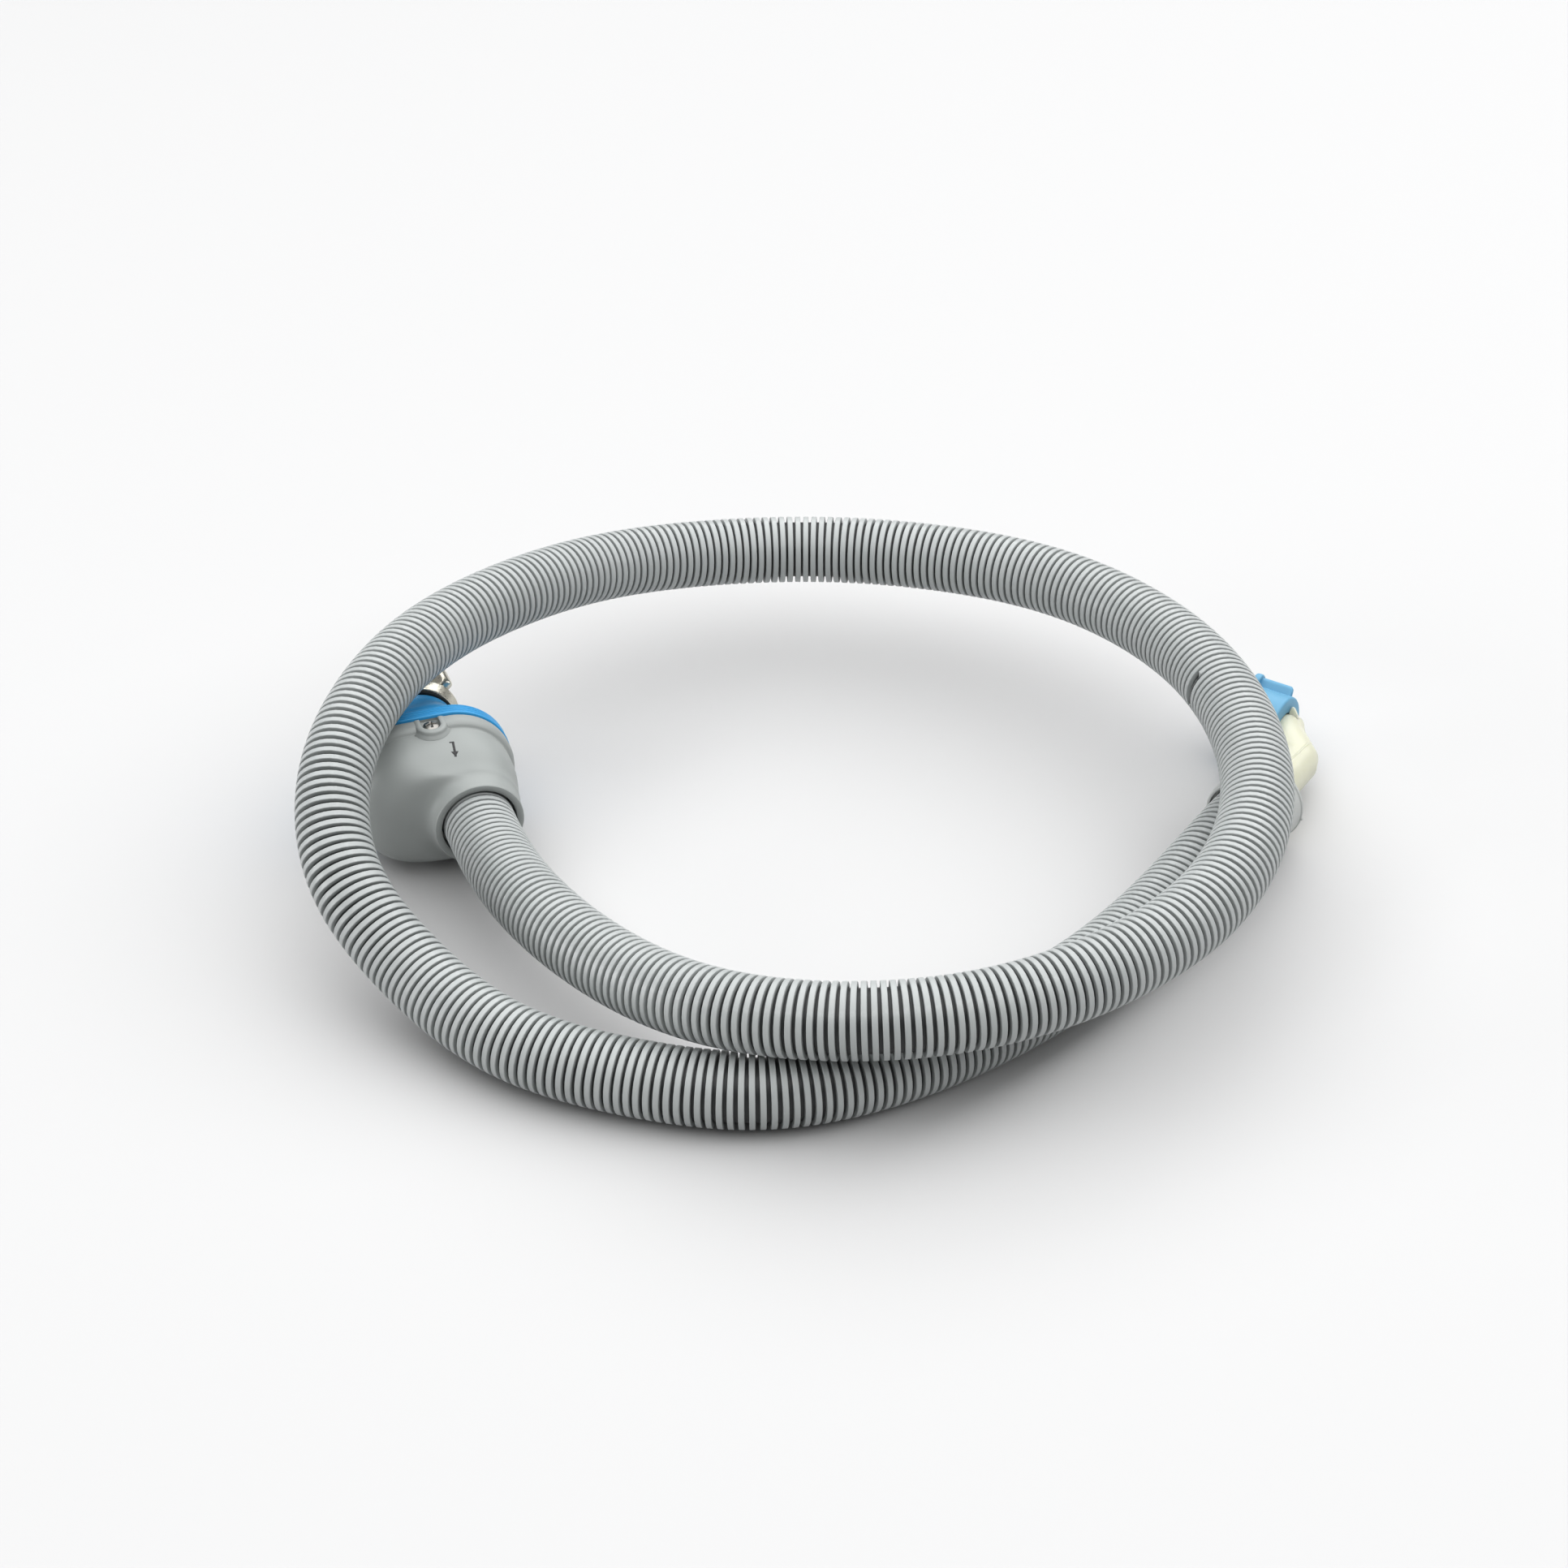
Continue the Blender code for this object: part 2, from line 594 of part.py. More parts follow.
def inlet():
    """What sits on the inlet axis: spigot, seals, strainer, rubber ring and the zinc nut."""
    groove = SPIGOT_R - O_RING_WIRE - GAP
    low, high = O_RING_Y - O_RING_WIRE * 0.9, O_RING_Y + O_RING_WIRE * 0.9
    rim_y = SPIGOT_END_Y - STRAINER_RIM - GAP
    turned("inlet_spigot", [
        (STRAINER_RIM_R + GAP, SPIGOT_END_Y),
        (SPIGOT_FLANGE_R, SPIGOT_END_Y),
        (SPIGOT_FLANGE_R, SPIGOT_END_Y - SPIGOT_FLANGE),
        (SPIGOT_R, SPIGOT_END_Y - SPIGOT_FLANGE),
        (SPIGOT_R, high), (groove, high), (groove, low), (SPIGOT_R, low),
        (SPIGOT_R, SPIGOT_START_Y),
        (SPIGOT_BORE_R, SPIGOT_START_Y),
        (SPIGOT_BORE_R, rim_y),
        (STRAINER_RIM_R + GAP, rim_y),
    ], "valve_plastic", valve, INLET_AT, TO_Y, INNER_SIDES)
    half = O_RING_WIRE * 0.5
    turned("spigot_o_ring", [
        (groove + GAP, O_RING_Y + half), (SPIGOT_R - half, O_RING_Y + half * 1.4),
        (SPIGOT_R - GAP * 0.3, O_RING_Y), (SPIGOT_R - half, O_RING_Y - half * 1.4),
        (groove + GAP, O_RING_Y - half),
    ], "black_rubber", valve, INLET_AT, TO_Y, INNER_SIDES)
    basket = SPIGOT_BORE_R - GAP
    rim = rim_y + GAP
    turned("inlet_strainer", [
        (basket - STRAINER_WALL, SPIGOT_END_Y),
        (STRAINER_RIM_R, SPIGOT_END_Y),
        (STRAINER_RIM_R, rim),
        (basket, rim),
        (basket - 0.0010, rim - STRAINER_DEPTH),
        (0.0012, rim - STRAINER_DEPTH),
        (0.0012, rim - STRAINER_DEPTH + STRAINER_WALL),
        (basket - 0.0010 - STRAINER_WALL, rim - STRAINER_DEPTH + STRAINER_WALL),
    ], "steel", valve, INLET_AT, TO_Y, INNER_SIDES)
    washer = SPIGOT_END_Y + GAP
    washer_profile = ring(WASHER_HOLE_R, NUT_BORE_R - GAP * 2, washer, washer + WASHER_THICK)
    turned("inlet_washer", washer_profile, "black_rubber", valve, INLET_AT, TO_Y, INNER_SIDES)
    boss_ring = ring(SPIGOT_R + GAP, RING_R, RING_Y, RING_Y + RING_THICK)
    turned("boss_ring", boss_ring, "black_rubber", valve, INLET_AT, TO_Y)
    end = NUT_Y + NUT_LENGTH
    nut = turned("inlet_nut", [
        (NUT_BORE_R + 0.0008, end),
        (NUT_BARREL_R - 0.0008, end),
        (NUT_BARREL_R, end - 0.0008),
        (NUT_BARREL_R, NUT_Y + 0.0065),
        (NUT_FLANGE_R, NUT_Y + 0.0045),
        (NUT_FLANGE_R, NUT_Y + 0.0030),
        (RING_R, NUT_Y),
        (SPIGOT_R + GAP, NUT_Y),
        (SPIGOT_R + GAP, NUT_SEAT_Y),
        (NUT_BORE_R, NUT_SEAT_Y),
        (NUT_BORE_R, end - 0.0008),
    ], "zinc", valve, INLET_AT, TO_Y)
    for name, angle in (("ear_a", NUT_EAR_ANGLE), ("ear_b", NUT_EAR_ANGLE + math.pi)):
        out = Vector((math.cos(angle), 0, math.sin(angle)))
        axis = Vector((INLET_X, 0, INLET_Z)) + out * (NUT_EAR_TIP_R - NUT_EAR_R)
        start, stop = Vector((0, NUT_Y + 0.0035, 0)), Vector((0, end - 0.0012, 0))
        ear = rod(name, axis + start, axis + stop, NUT_EAR_R, valve)
        web = box(name + "_web",
                  (NUT_BORE_R + 0.0016, NUT_Y + 0.0035, -NUT_EAR_R * 0.62),
                  (NUT_EAR_TIP_R - NUT_EAR_R, end - 0.0030, NUT_EAR_R * 0.62), valve,
                  Matrix.Translation((INLET_X, 0, INLET_Z)) @ Matrix.Rotation(-angle, 4, "Y"))
        boolean(nut, web, "UNION")
        boolean(nut, ear, "UNION")


BARB_START = Vector((PLUNGER_X, PLUNGER_Y, OUTLET_Z))
BARB_AIM = Vector((MOUTH_X, CLIP_Y + CLIP_LENGTH, HOUSING_Z))
BARB_WAY = (BARB_AIM - BARB_START).normalized()
BODY_HALF = CHAMBER_R + BODY_WALL
BARB_TILT = math.sqrt(1 - BARB_WAY.y**2) / abs(BARB_WAY.y)
BARB_FACE_Y = BODY_HALF + INNER_HOSE_OUTER_R * BARB_TILT
BARB_FACE = BARB_START + BARB_WAY * BARB_FACE_Y / abs(BARB_WAY.y)
BARB_R = INNER_HOSE_BORE_R - BARB_CLEARANCE
SOCKET_R = SPIGOT_R + GAP
BONNET_Z = BODY_BOTTOM_Z - GAP - BONNET_FLANGE
PAD_Z = BONNET_Z - GAP - SPRING_LENGTH - GAP - PAD_THICK
TONGUE_SIDE = BEAD_PROUD + HOUSING_WALL + TONGUE_CLEARANCE
TONGUE_FLOOR_Z = HOUSING_Z - (HOUSING_HALF_H - TONGUE_SIDE - TONGUE_WALL)
CAGE_Z = TONGUE_FLOOR_Z + CAGE_CLEARANCE
CAPSULE_Z = CAGE_Z + CAGE_FLOOR + GAP
CAPSULE_THICK = PAD_Z - GAP - CAPSULE_Z
SEAL_TOP_Z = SEAT_Z - GAP - TRAVEL
HEAD_TOP_Z = SEAL_TOP_Z - SEAL_THICK - GAP
PLUNGER_AT = (PLUNGER_X, PLUNGER_Y, 0)


def valve_body():
    """Moulded body: a block with the chamber, a socket for the spigot and a slanted barb."""
    face = BOSS_Y - COVER_WALL - GAP
    block_end = PLUNGER_Y + BODY_HALF
    axis = (INLET_X, INLET_Z)
    low = (PLUNGER_X - BODY_HALF, PLUNGER_Y - BODY_HALF, BODY_BOTTOM_Z)
    high = (PLUNGER_X + BODY_HALF, block_end + 0.0010, BODY_TOP_Z)
    block = box("block", low, high, valve)
    body = place("valve_body", block.data.copy(), "valve_plastic", valve)
    bpy.data.objects.remove(block)
    socket = rod("socket", (axis[0], block_end + GAP, axis[1]), (axis[0], face, axis[1]),
                 SOCKET_R + SOCKET_WALL, valve, sides=SIDES)
    barb_end = BARB_FACE + BARB_WAY * BARB_LENGTH
    barb = rod("barb", BARB_START, barb_end, BARB_R, valve)
    for joined in (socket, barb):
        boolean(body, joined, "UNION")
    chamber_low = (PLUNGER_X, PLUNGER_Y, BODY_BOTTOM_Z - 0.005)
    chamber_top = (PLUNGER_X, PLUNGER_Y, SEAT_Z)
    outlet_top = (PLUNGER_X, PLUNGER_Y, OUTLET_Z + OUTLET_HOLE_R)
    for cutter in (
        rod("chamber", chamber_low, chamber_top, CHAMBER_R, valve, sides=SIDES),
        rod("seat_hole", (PLUNGER_X, PLUNGER_Y, SEAT_Z - 0.002), outlet_top, SEAT_HOLE_R, valve),
        rod("outlet_hole", BARB_START, barb_end + BARB_WAY * 0.002, OUTLET_HOLE_R, valve),
        rod("socket_bore", (axis[0], SPIGOT_START_Y - GAP, axis[1]),
            (axis[0], face + 0.002, axis[1]), SOCKET_R, valve, sides=SIDES),
        rod("inlet_hole", (axis[0], PLUNGER_Y, axis[1]),
            (axis[0], SPIGOT_START_Y + 0.002, axis[1]), INLET_HOLE_R, valve),
    ):
        boolean(body, cutter, "DIFFERENCE")


def valve_inside():
    """Bonnet, plunger, spring, pellet and cage, stacked on the plunger's axis."""
    bore = STEM_R + STEM_CLEARANCE
    plug_top = BODY_BOTTOM_Z + BONNET_PLUG
    seal_low = plug_top - 0.0018
    flange_r = CHAMBER_R + 0.0007
    turned("bonnet", [
        (STEM_SEAL_R + GAP, plug_top), (CHAMBER_R - GAP, plug_top),
        (CHAMBER_R - GAP, BODY_BOTTOM_Z - GAP), (flange_r, BODY_BOTTOM_Z - GAP),
        (flange_r, BONNET_Z), (bore, BONNET_Z), (bore, seal_low - GAP),
        (STEM_SEAL_R + GAP, seal_low - GAP),
    ], "valve_plastic", valve, PLUNGER_AT, sides=INNER_SIDES)
    turned("stem_seal", ring(bore, STEM_SEAL_R, seal_low, plug_top - GAP), "black_rubber",
           valve, PLUNGER_AT, sides=INNER_SIDES)
    tip = SEAL_TOP_Z + 0.0015
    head_low = HEAD_TOP_Z - HEAD_THICK
    core = STEM_R - 0.0004
    profile = [
        (0, tip), (STEM_R, tip - 0.0005), (STEM_R, SEAL_TOP_Z + GAP), (core, SEAL_TOP_Z + GAP),
        (core, HEAD_TOP_Z), (SEAL_R, HEAD_TOP_Z), (SEAL_R, head_low), (STEM_R, head_low),
        (STEM_R, PAD_Z + PAD_THICK), (PAD_R, PAD_Z + PAD_THICK), (PAD_R, PAD_Z), (0, PAD_Z),
    ]
    mesh = bpy.data.meshes.new("plunger")
    edges = [(i, i + 1) for i in range(len(profile) - 1)]
    mesh.from_pydata([(x, 0, y) for x, y in profile], edges, [])
    plunger = place("plunger", mesh, "brass", valve, PLUNGER_AT)
    spin = plunger.modifiers.new("turn", "SCREW")
    spin.steps = INNER_SIDES
    spin.render_steps = INNER_SIDES
    spin.use_merge_vertices = True
    spin.merge_threshold = 1e-6
    seal = ring(core + GAP, SEAL_R, HEAD_TOP_Z + GAP, SEAL_TOP_Z)
    turned("plunger_seal", seal, "black_rubber", valve, PLUNGER_AT, sides=INNER_SIDES)
    coil_low = PAD_Z + PAD_THICK + GAP + SPRING_WIRE_R
    rise = SPRING_LENGTH - 2 * SPRING_WIRE_R
    count = 12
    coil = []
    for step in range(round(SPRING_TURNS * count) + 1):
        angle = step * 2 * math.pi / count
        height = coil_low + rise * step / (SPRING_TURNS * count)
        x, y = SPRING_R * math.cos(angle), SPRING_R * math.sin(angle)
        coil.append((PLUNGER_X + x, PLUNGER_Y + y, height))
    swept("plunger_spring", coil, SPRING_WIRE_R, "steel", 1, valve)
    pellet = [(0.0012, CAPSULE_Z + CAPSULE_THICK), (CAPSULE_R, CAPSULE_Z + CAPSULE_THICK),
              (CAPSULE_R, CAPSULE_Z), (0.0012, CAPSULE_Z)]
    turned("swelling_capsule", pellet, "pellet", valve, PLUNGER_AT, sides=INNER_SIDES)
    inner = flange_r + GAP
    outer = inner + CAGE_WALL
    top = BODY_BOTTOM_Z - GAP
    cage = turned("capsule_cage", [
        (inner, top), (outer, top), (outer, CAGE_Z + 0.0008), (outer - 0.0008, CAGE_Z),
        (0.0015, CAGE_Z), (0.0015, CAPSULE_Z - GAP), (inner, CAPSULE_Z - GAP),
    ], "valve_plastic", valve, PLUNGER_AT)
    for i in range(CAGE_SLOTS):
        turn = Matrix.Translation(PLUNGER_AT) @ Matrix.Rotation(i * 2 * math.pi / CAGE_SLOTS, 4, "Z")
        low = (inner - 0.001, -0.0012, CAPSULE_Z)
        slot = box(f"slot_{i}", low, (outer + 0.001, 0.0012, PAD_Z + PAD_THICK), valve, turn)
        boolean(cage, slot, "DIFFERENCE")


def hoses():
    """The jacket and the pressure hose inside it, with the clips and ferrules on them."""
    start = VALVE @ Vector((MOUTH_X, CLIP_Y + CLIP_LENGTH + 0.0008, HOUSING_Z))
    mouth = VALVE @ Vector((MOUTH_X, MOUTH_Y, HOUSING_Z))
    leaving = VALVE @ Vector((MOUTH_X, MOUTH_Y - STRAIGHT, HOUSING_Z))
    nearing = ELBOW @ Vector((0, -STRAIGHT, COLLAR_Z))
    lip = ELBOW @ Vector((0, 0, COLLAR_Z))
    end = ELBOW @ Vector((0, COLLAR_LIP + CLIP_LENGTH + 0.0012, COLLAR_Z))
    free = [leaving, *HOSE_POINTS, nearing]
    route = smooth_route([start, mouth, *free, lip, end], HOSE_SPACING)
    jacket = swept("outer_hose", route, HOSE_OUTER_R, "hose_plastic")
    bore = swept("jacket_bore", lengthened(route, 0.004), HOSE_BORE_R, None)
    boolean(jacket, bore, "DIFFERENCE")
    barb_face = VALVE @ (BARB_FACE + BARB_WAY * GAP)
    barb_end = VALVE @ (BARB_FACE + BARB_WAY * (BARB_LENGTH + 0.001))
    disc = ELBOW @ Vector((0, COLLAR_LENGTH - ELBOW_DISC_INSET - ELBOW_DISC - GAP, COLLAR_Z))
    bent = smooth_route([barb_end, mouth, *free, lip], HOSE_SPACING)
    route = [barb_face, *map(Vector, bent), disc]
    hose = swept("inner_hose", route, INNER_HOSE_OUTER_R, "inner_rubber", 2)
    bore = swept("inner_bore", lengthened(route, 0.004), INNER_HOSE_BORE_R, None, 2)
    boolean(hose, bore, "DIFFERENCE")


def clip(name, inner, outer, start, parent, centre):
    """A split ring round the jacket's end."""
    at = (centre[0], 0, centre[1])
    profile = ring(inner, outer, start, start + CLIP_LENGTH)
    made = turned(name, profile, "valve_plastic", parent, at, TO_Y)
    low = (centre[0] - 0.001, start - 0.001, centre[1] - outer - 0.002)
    high = (centre[0] + 0.001, start + CLIP_LENGTH + 0.001, centre[1])
    boolean(made, box(name + "_split", low, high, parent), "DIFFERENCE")


def clips_and_ferrules():
    hose = HOSE_OUTER_R + GAP
    clip("valve_end_clip", hose, CLIP_R, CLIP_Y, valve, (MOUTH_X, HOUSING_Z))
    clip("elbow_end_clip", hose, COLLAR_CLIP_R, COLLAR_LIP + GAP, elbow_end, (0, COLLAR_Z))
    inner = INNER_HOSE_OUTER_R + GAP
    profile = ring(inner, inner + FERRULE_WALL, 0, FERRULE_LENGTH)
    turn = BARB_WAY.to_track_quat("Z", "Y").to_euler()
    at = BARB_FACE + BARB_WAY * 0.003
    turned("valve_end_ferrule", profile, "steel", valve, at, turn, INNER_SIDES)
    y = COLLAR_LENGTH - ELBOW_DISC_INSET - ELBOW_DISC - 0.003 - FERRULE_LENGTH
    turned("elbow_end_ferrule", profile, "steel", elbow_end, (0, y, COLLAR_Z), TO_Y, INNER_SIDES)


def end_collar():
    """Grey cup: a lip round the jacket, widening to the rim that takes the elbow's disc."""
    bore = HOSE_OUTER_R + COLLAR_LIP_CLEARANCE
    inside = COLLAR_CLIP_R + GAP
    rim = COLLAR_RIM_R - COLLAR_WALL
    turned("end_collar", [
        (rim, COLLAR_LENGTH),
        (COLLAR_RIM_R - 0.0004, COLLAR_LENGTH),
        (COLLAR_RIM_R, COLLAR_LENGTH - 0.0006),
        (COLLAR_RIM_R, COLLAR_LENGTH - 0.0018),
        (COLLAR_LIP_R + 0.0003, 0.0012),
        (COLLAR_LIP_R - 0.0004, 0),
        (bore, 0),
        (bore, COLLAR_LIP),
        (inside, COLLAR_LIP),
        (rim, COLLAR_LENGTH - 0.0040),
    ], "grey_plastic", elbow_end, (0, 0, COLLAR_Z), TO_Y)


TAIL_AT = (0, ELBOW_TAIL_Y, ELBOW_AXIS_Z)
TO_MINUS_X = (0, -math.pi / 2, 0)  # turns a piece's own Z to the frame's -X
ENUT_FACE = -ENUT_FACE_X
ENUT_SEAT = ENUT_FACE + ENUT_BASE
SNAP_START = ENUT_SEAT + GAP
TAIL_END = SNAP_START + SNAP_THICK + 0.0010


def elbow():
    """Pale moulded elbow: disc and barb in the collar, a bent tube and a grooved tail."""
    disc_y = COLLAR_LENGTH - ELBOW_DISC_INSET
    disc_r = COLLAR_RIM_R - COLLAR_WALL - GAP
    bend_y = ELBOW_TAIL_Y - ELBOW_BEND_R
    bend_x = ELBOW_LEG_X - ELBOW_BEND_R
    path = [
        (0, disc_y - ELBOW_DISC * 0.5, COLLAR_Z),
        (0, disc_y + 0.0020, COLLAR_Z),
        (ELBOW_LEG_X * 0.6, (disc_y + bend_y) / 2, (COLLAR_Z + ELBOW_AXIS_Z) / 2),
    ]
    for step in range(7):
        angle = step / 6 * math.pi / 2
        x = bend_x + ELBOW_BEND_R * math.cos(angle)
        y = bend_y + ELBOW_BEND_R * math.sin(angle)
        path.append((x, y, ELBOW_AXIS_Z))
    path.append((bend_x - 0.0010, ELBOW_TAIL_Y, ELBOW_AXIS_Z))
    tube = swept("elbow", path, ELBOW_TUBE_R, "pale_nylon", 6, elbow_end)
    groove = ELBOW_TAIL_R - SNAP_GROOVE
    tail = turned("tail", [
        (ELBOW_BORE_R * 0.8, TAIL_END), (ELBOW_TAIL_R, TAIL_END),
        (ELBOW_TAIL_R, SNAP_START + SNAP_THICK + GAP), (groove, SNAP_START + SNAP_THICK + GAP),
        (groove, SNAP_START - GAP), (ELBOW_TAIL_R, SNAP_START - GAP),
        (ELBOW_TAIL_R, -bend_x - 0.0014), (ELBOW_BORE_R * 0.8, -bend_x - 0.0014),
    ], None, elbow_end, TAIL_AT, TO_MINUS_X)
    disc = turned("disc", ring(BARB_HOLE_R * 0.8, disc_r, disc_y - ELBOW_DISC, disc_y),
                  None, elbow_end, (0, 0, COLLAR_Z), TO_Y)
    barb_low = disc_y - ELBOW_DISC * 0.5 - ELBOW_BARB_LENGTH
    barb_top = (0, disc_y - ELBOW_DISC * 0.25, COLLAR_Z)
    barb = rod("elbow_barb", (0, barb_low, COLLAR_Z), barb_top, BARB_R, elbow_end)
    for joined in (tail, disc, barb):
        boolean(tube, joined, "UNION")
    inside = path[2:] + [(-TAIL_END - 0.002, ELBOW_TAIL_Y, ELBOW_AXIS_Z)]
    inside = [(0, disc_y + 0.0030, COLLAR_Z)] + inside
    bore = swept("elbow_bore", inside, ELBOW_BORE_R, None, 5, elbow_end)
    drill = rod("barb_drill", (0, barb_low - 0.002, COLLAR_Z), (0, disc_y + 0.006, COLLAR_Z),
                BARB_HOLE_R, elbow_end)
    for cutter in (bore, drill):
        boolean(tube, cutter, "DIFFERENCE")


def elbow_nut():
    """Blue moulded nut with two straight bars that end in round lobes on its flange."""
    end = ENUT_FACE + ENUT_LENGTH
    hole = ELBOW_TAIL_R + GAP
    nut = turned("elbow_nut", [
        (NUT_BORE_R + 0.0006, end),
        (ENUT_FLANGE_R - 0.0006, end),
        (ENUT_FLANGE_R, end - 0.0006),
        (ENUT_FLANGE_R, end - ENUT_FLANGE),
        (ENUT_R, end - ENUT_FLANGE - 0.0010),
        (ENUT_R, ENUT_FACE + 0.0014),
        (ENUT_R - 0.0014, ENUT_FACE),
        (hole + 0.0006, ENUT_FACE),
        (hole, ENUT_FACE + 0.0006),
        (hole, ENUT_SEAT),
        (NUT_BORE_R, ENUT_SEAT),
        (NUT_BORE_R, end - 0.0006),
    ], "blue_plastic", elbow_end, TAIL_AT, TO_MINUS_X)
    centre = Matrix.Translation(TAIL_AT)
    for name, angle in (("bar_a", ENUT_BAR_ANGLE), ("bar_b", ENUT_BAR_ANGLE + math.pi)):
        turn = centre @ Matrix.Rotation(angle, 4, "X")
        half = ENUT_BAR_THICK / 2
        low = (-end + 0.0004, ENUT_R - 0.0020, -half)
        bar = box(name, low, (-ENUT_FACE, ENUT_BAR_TIP_R, half), elbow_end, turn)
        out = Vector((0, math.cos(angle), math.sin(angle)))
        axis = Vector(TAIL_AT) + out * (ENUT_LOBE_TIP_R - ENUT_LOBE_R)
        lobe = rod(name + "_lobe", axis - Vector((end, 0, 0)),
                   axis - Vector((end - ENUT_FLANGE, 0, 0)), ENUT_LOBE_R, elbow_end)
        boolean(nut, bar, "UNION")
        boolean(nut, lobe, "UNION")
    snap = turned("elbow_snap_ring",
                  ring(ELBOW_TAIL_R - SNAP_GROOVE + GAP, SNAP_R, SNAP_START, SNAP_START + SNAP_THICK),
                  "steel", elbow_end, TAIL_AT, TO_MINUS_X, INNER_SIDES)
    mouth = SNAP_R * 0.55
    low = (-SNAP_START - SNAP_THICK - 0.001, ELBOW_TAIL_Y - mouth, ELBOW_AXIS_Z)
    high = (-SNAP_START + 0.001, ELBOW_TAIL_Y + mouth, ELBOW_AXIS_Z + SNAP_R * 1.2)
    boolean(snap, box("snap_mouth", low, high, elbow_end), "DIFFERENCE")
    start = TAIL_END + GAP
    profile = ring(WASHER_HOLE_R, NUT_BORE_R - GAP * 2, start, start + WASHER_THICK)
    turned("elbow_washer", profile, "black_rubber", elbow_end, TAIL_AT, TO_MINUS_X, INNER_SIDES)


valve_housing()
housing_cover()
cover_screw()
inlet()
valve_body()
valve_inside()
hoses()
clips_and_ferrules()
end_collar()
elbow()
elbow_nut()
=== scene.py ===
"""Water-stop inlet hose for a washing machine, lying in a loop: the part as it looks.

Lengths are metres in the part's own frame: the hose lies on z = 0, +X runs from the valve housing
to the elbow and +Y away from the viewer. Each end of the hose also has its own frame, in which Y
is the direction that the end's mouth or collar faces, away from the hose.
"""

import math

import bmesh
import bpy
import numpy as np
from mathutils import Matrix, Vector


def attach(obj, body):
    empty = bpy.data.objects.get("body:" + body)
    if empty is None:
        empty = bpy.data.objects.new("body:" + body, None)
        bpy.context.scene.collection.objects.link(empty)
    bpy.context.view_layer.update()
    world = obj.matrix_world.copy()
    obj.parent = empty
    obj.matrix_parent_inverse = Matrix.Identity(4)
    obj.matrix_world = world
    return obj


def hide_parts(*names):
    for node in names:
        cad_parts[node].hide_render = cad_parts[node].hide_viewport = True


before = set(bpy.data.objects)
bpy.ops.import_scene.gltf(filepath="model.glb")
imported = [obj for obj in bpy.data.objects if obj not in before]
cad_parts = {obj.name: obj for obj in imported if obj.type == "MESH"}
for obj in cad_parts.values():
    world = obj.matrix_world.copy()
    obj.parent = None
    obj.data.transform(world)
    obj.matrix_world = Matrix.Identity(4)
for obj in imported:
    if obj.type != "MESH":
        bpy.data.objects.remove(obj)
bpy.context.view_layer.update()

# The studio: a camera with a long lens looks down at the loop on a white table. One very wide
# soft light hangs above it, and a smaller one at the left lights the ridges' left flanks.
CAMERA_AT = (-0.02038, -1.1289, 0.7985)
CAMERA_TILT = math.radians(56.032)
CAMERA_LENS_MM, CAMERA_SENSOR_MM, CAMERA_CLIP = 50, 24, 0.01
TABLE_HALF, TABLE_TOP = 30.0, -0.0002
TABLE_WHITE = (0.545, 0.545, 0.547)
ROOM_WHITE = (1.0, 1.0, 1.0)
ROOM_STRENGTH = 0.20
PICTURE_GAMMA = 0.86
# Each light as its place, the point it faces, its width and its power in watts.
LIGHTS = {
    "overhead": ((1.9, 1.9, 3.4), (1.9, 1.9, 0.0), 12.0, 740.0),
    "left_window": ((-2.6, -0.3, 0.5), (0.0, 0.0, 0.0), 1.3, 26.0),
}

camera = bpy.data.objects.new("camera", bpy.data.cameras.new("camera"))
camera.location = CAMERA_AT
camera.rotation_euler = (CAMERA_TILT, 0, 0)
camera.data.lens = CAMERA_LENS_MM
camera.data.sensor_width = CAMERA_SENSOR_MM
camera.data.clip_start = CAMERA_CLIP
bpy.context.scene.collection.objects.link(camera)
bpy.context.scene.camera = camera

for name, (place, aim, width, power) in LIGHTS.items():
    lamp = bpy.data.lights.new(name, "AREA")
    lamp.shape = "DISK"
    lamp.size = width
    lamp.energy = power
    lamp_object = bpy.data.objects.new(name, lamp)
    lamp_object.location = place
    way = Vector(aim) - Vector(place)
    lamp_object.rotation_euler = way.to_track_quat("-Z", "Y").to_euler()
    bpy.context.scene.collection.objects.link(lamp_object)

room = bpy.data.worlds.new("room")
room.use_nodes = True
room.node_tree.nodes["Background"].inputs["Color"].default_value = (*ROOM_WHITE, 1)
room.node_tree.nodes["Background"].inputs["Strength"].default_value = ROOM_STRENGTH
bpy.context.scene.world = room
bpy.context.scene.view_settings.view_transform = "Standard"
bpy.context.scene.view_settings.gamma = PICTURE_GAMMA


class Wire:
    """A socket of a finish. Sums and products of wires and numbers add Math nodes."""

    def __init__(self, finish, socket):
        self.finish, self.socket = finish, socket

    def maths(self, operation, *values):
        return self.finish.node("Math", {"operation": operation}, dict(enumerate(values)))

    def __add__(self, other):
        return self.maths("ADD", self, other)

    def __sub__(self, other):
        return self.maths("SUBTRACT", self, other)

    def __rsub__(self, other):
        return self.maths("SUBTRACT", other, self)

    def __mul__(self, other):
        return self.maths("MULTIPLY", self, other)

    def __truediv__(self, other):
        return self.maths("DIVIDE", self, other)

    def __abs__(self):
        return self.maths("ABSOLUTE", self)

    def within(self, limit, soft):
        """1 where the value is under the limit, 0 over it, with a soft edge of the given width."""
        return self.finish.node(
            "MapRange",
            {"interpolation_type": "SMOOTHSTEP"},
            {0: self, 1: limit - soft, 2: limit + soft, 3: 1.0, 4: 0.0},
        )

    __radd__, __rmul__ = __add__, __mul__


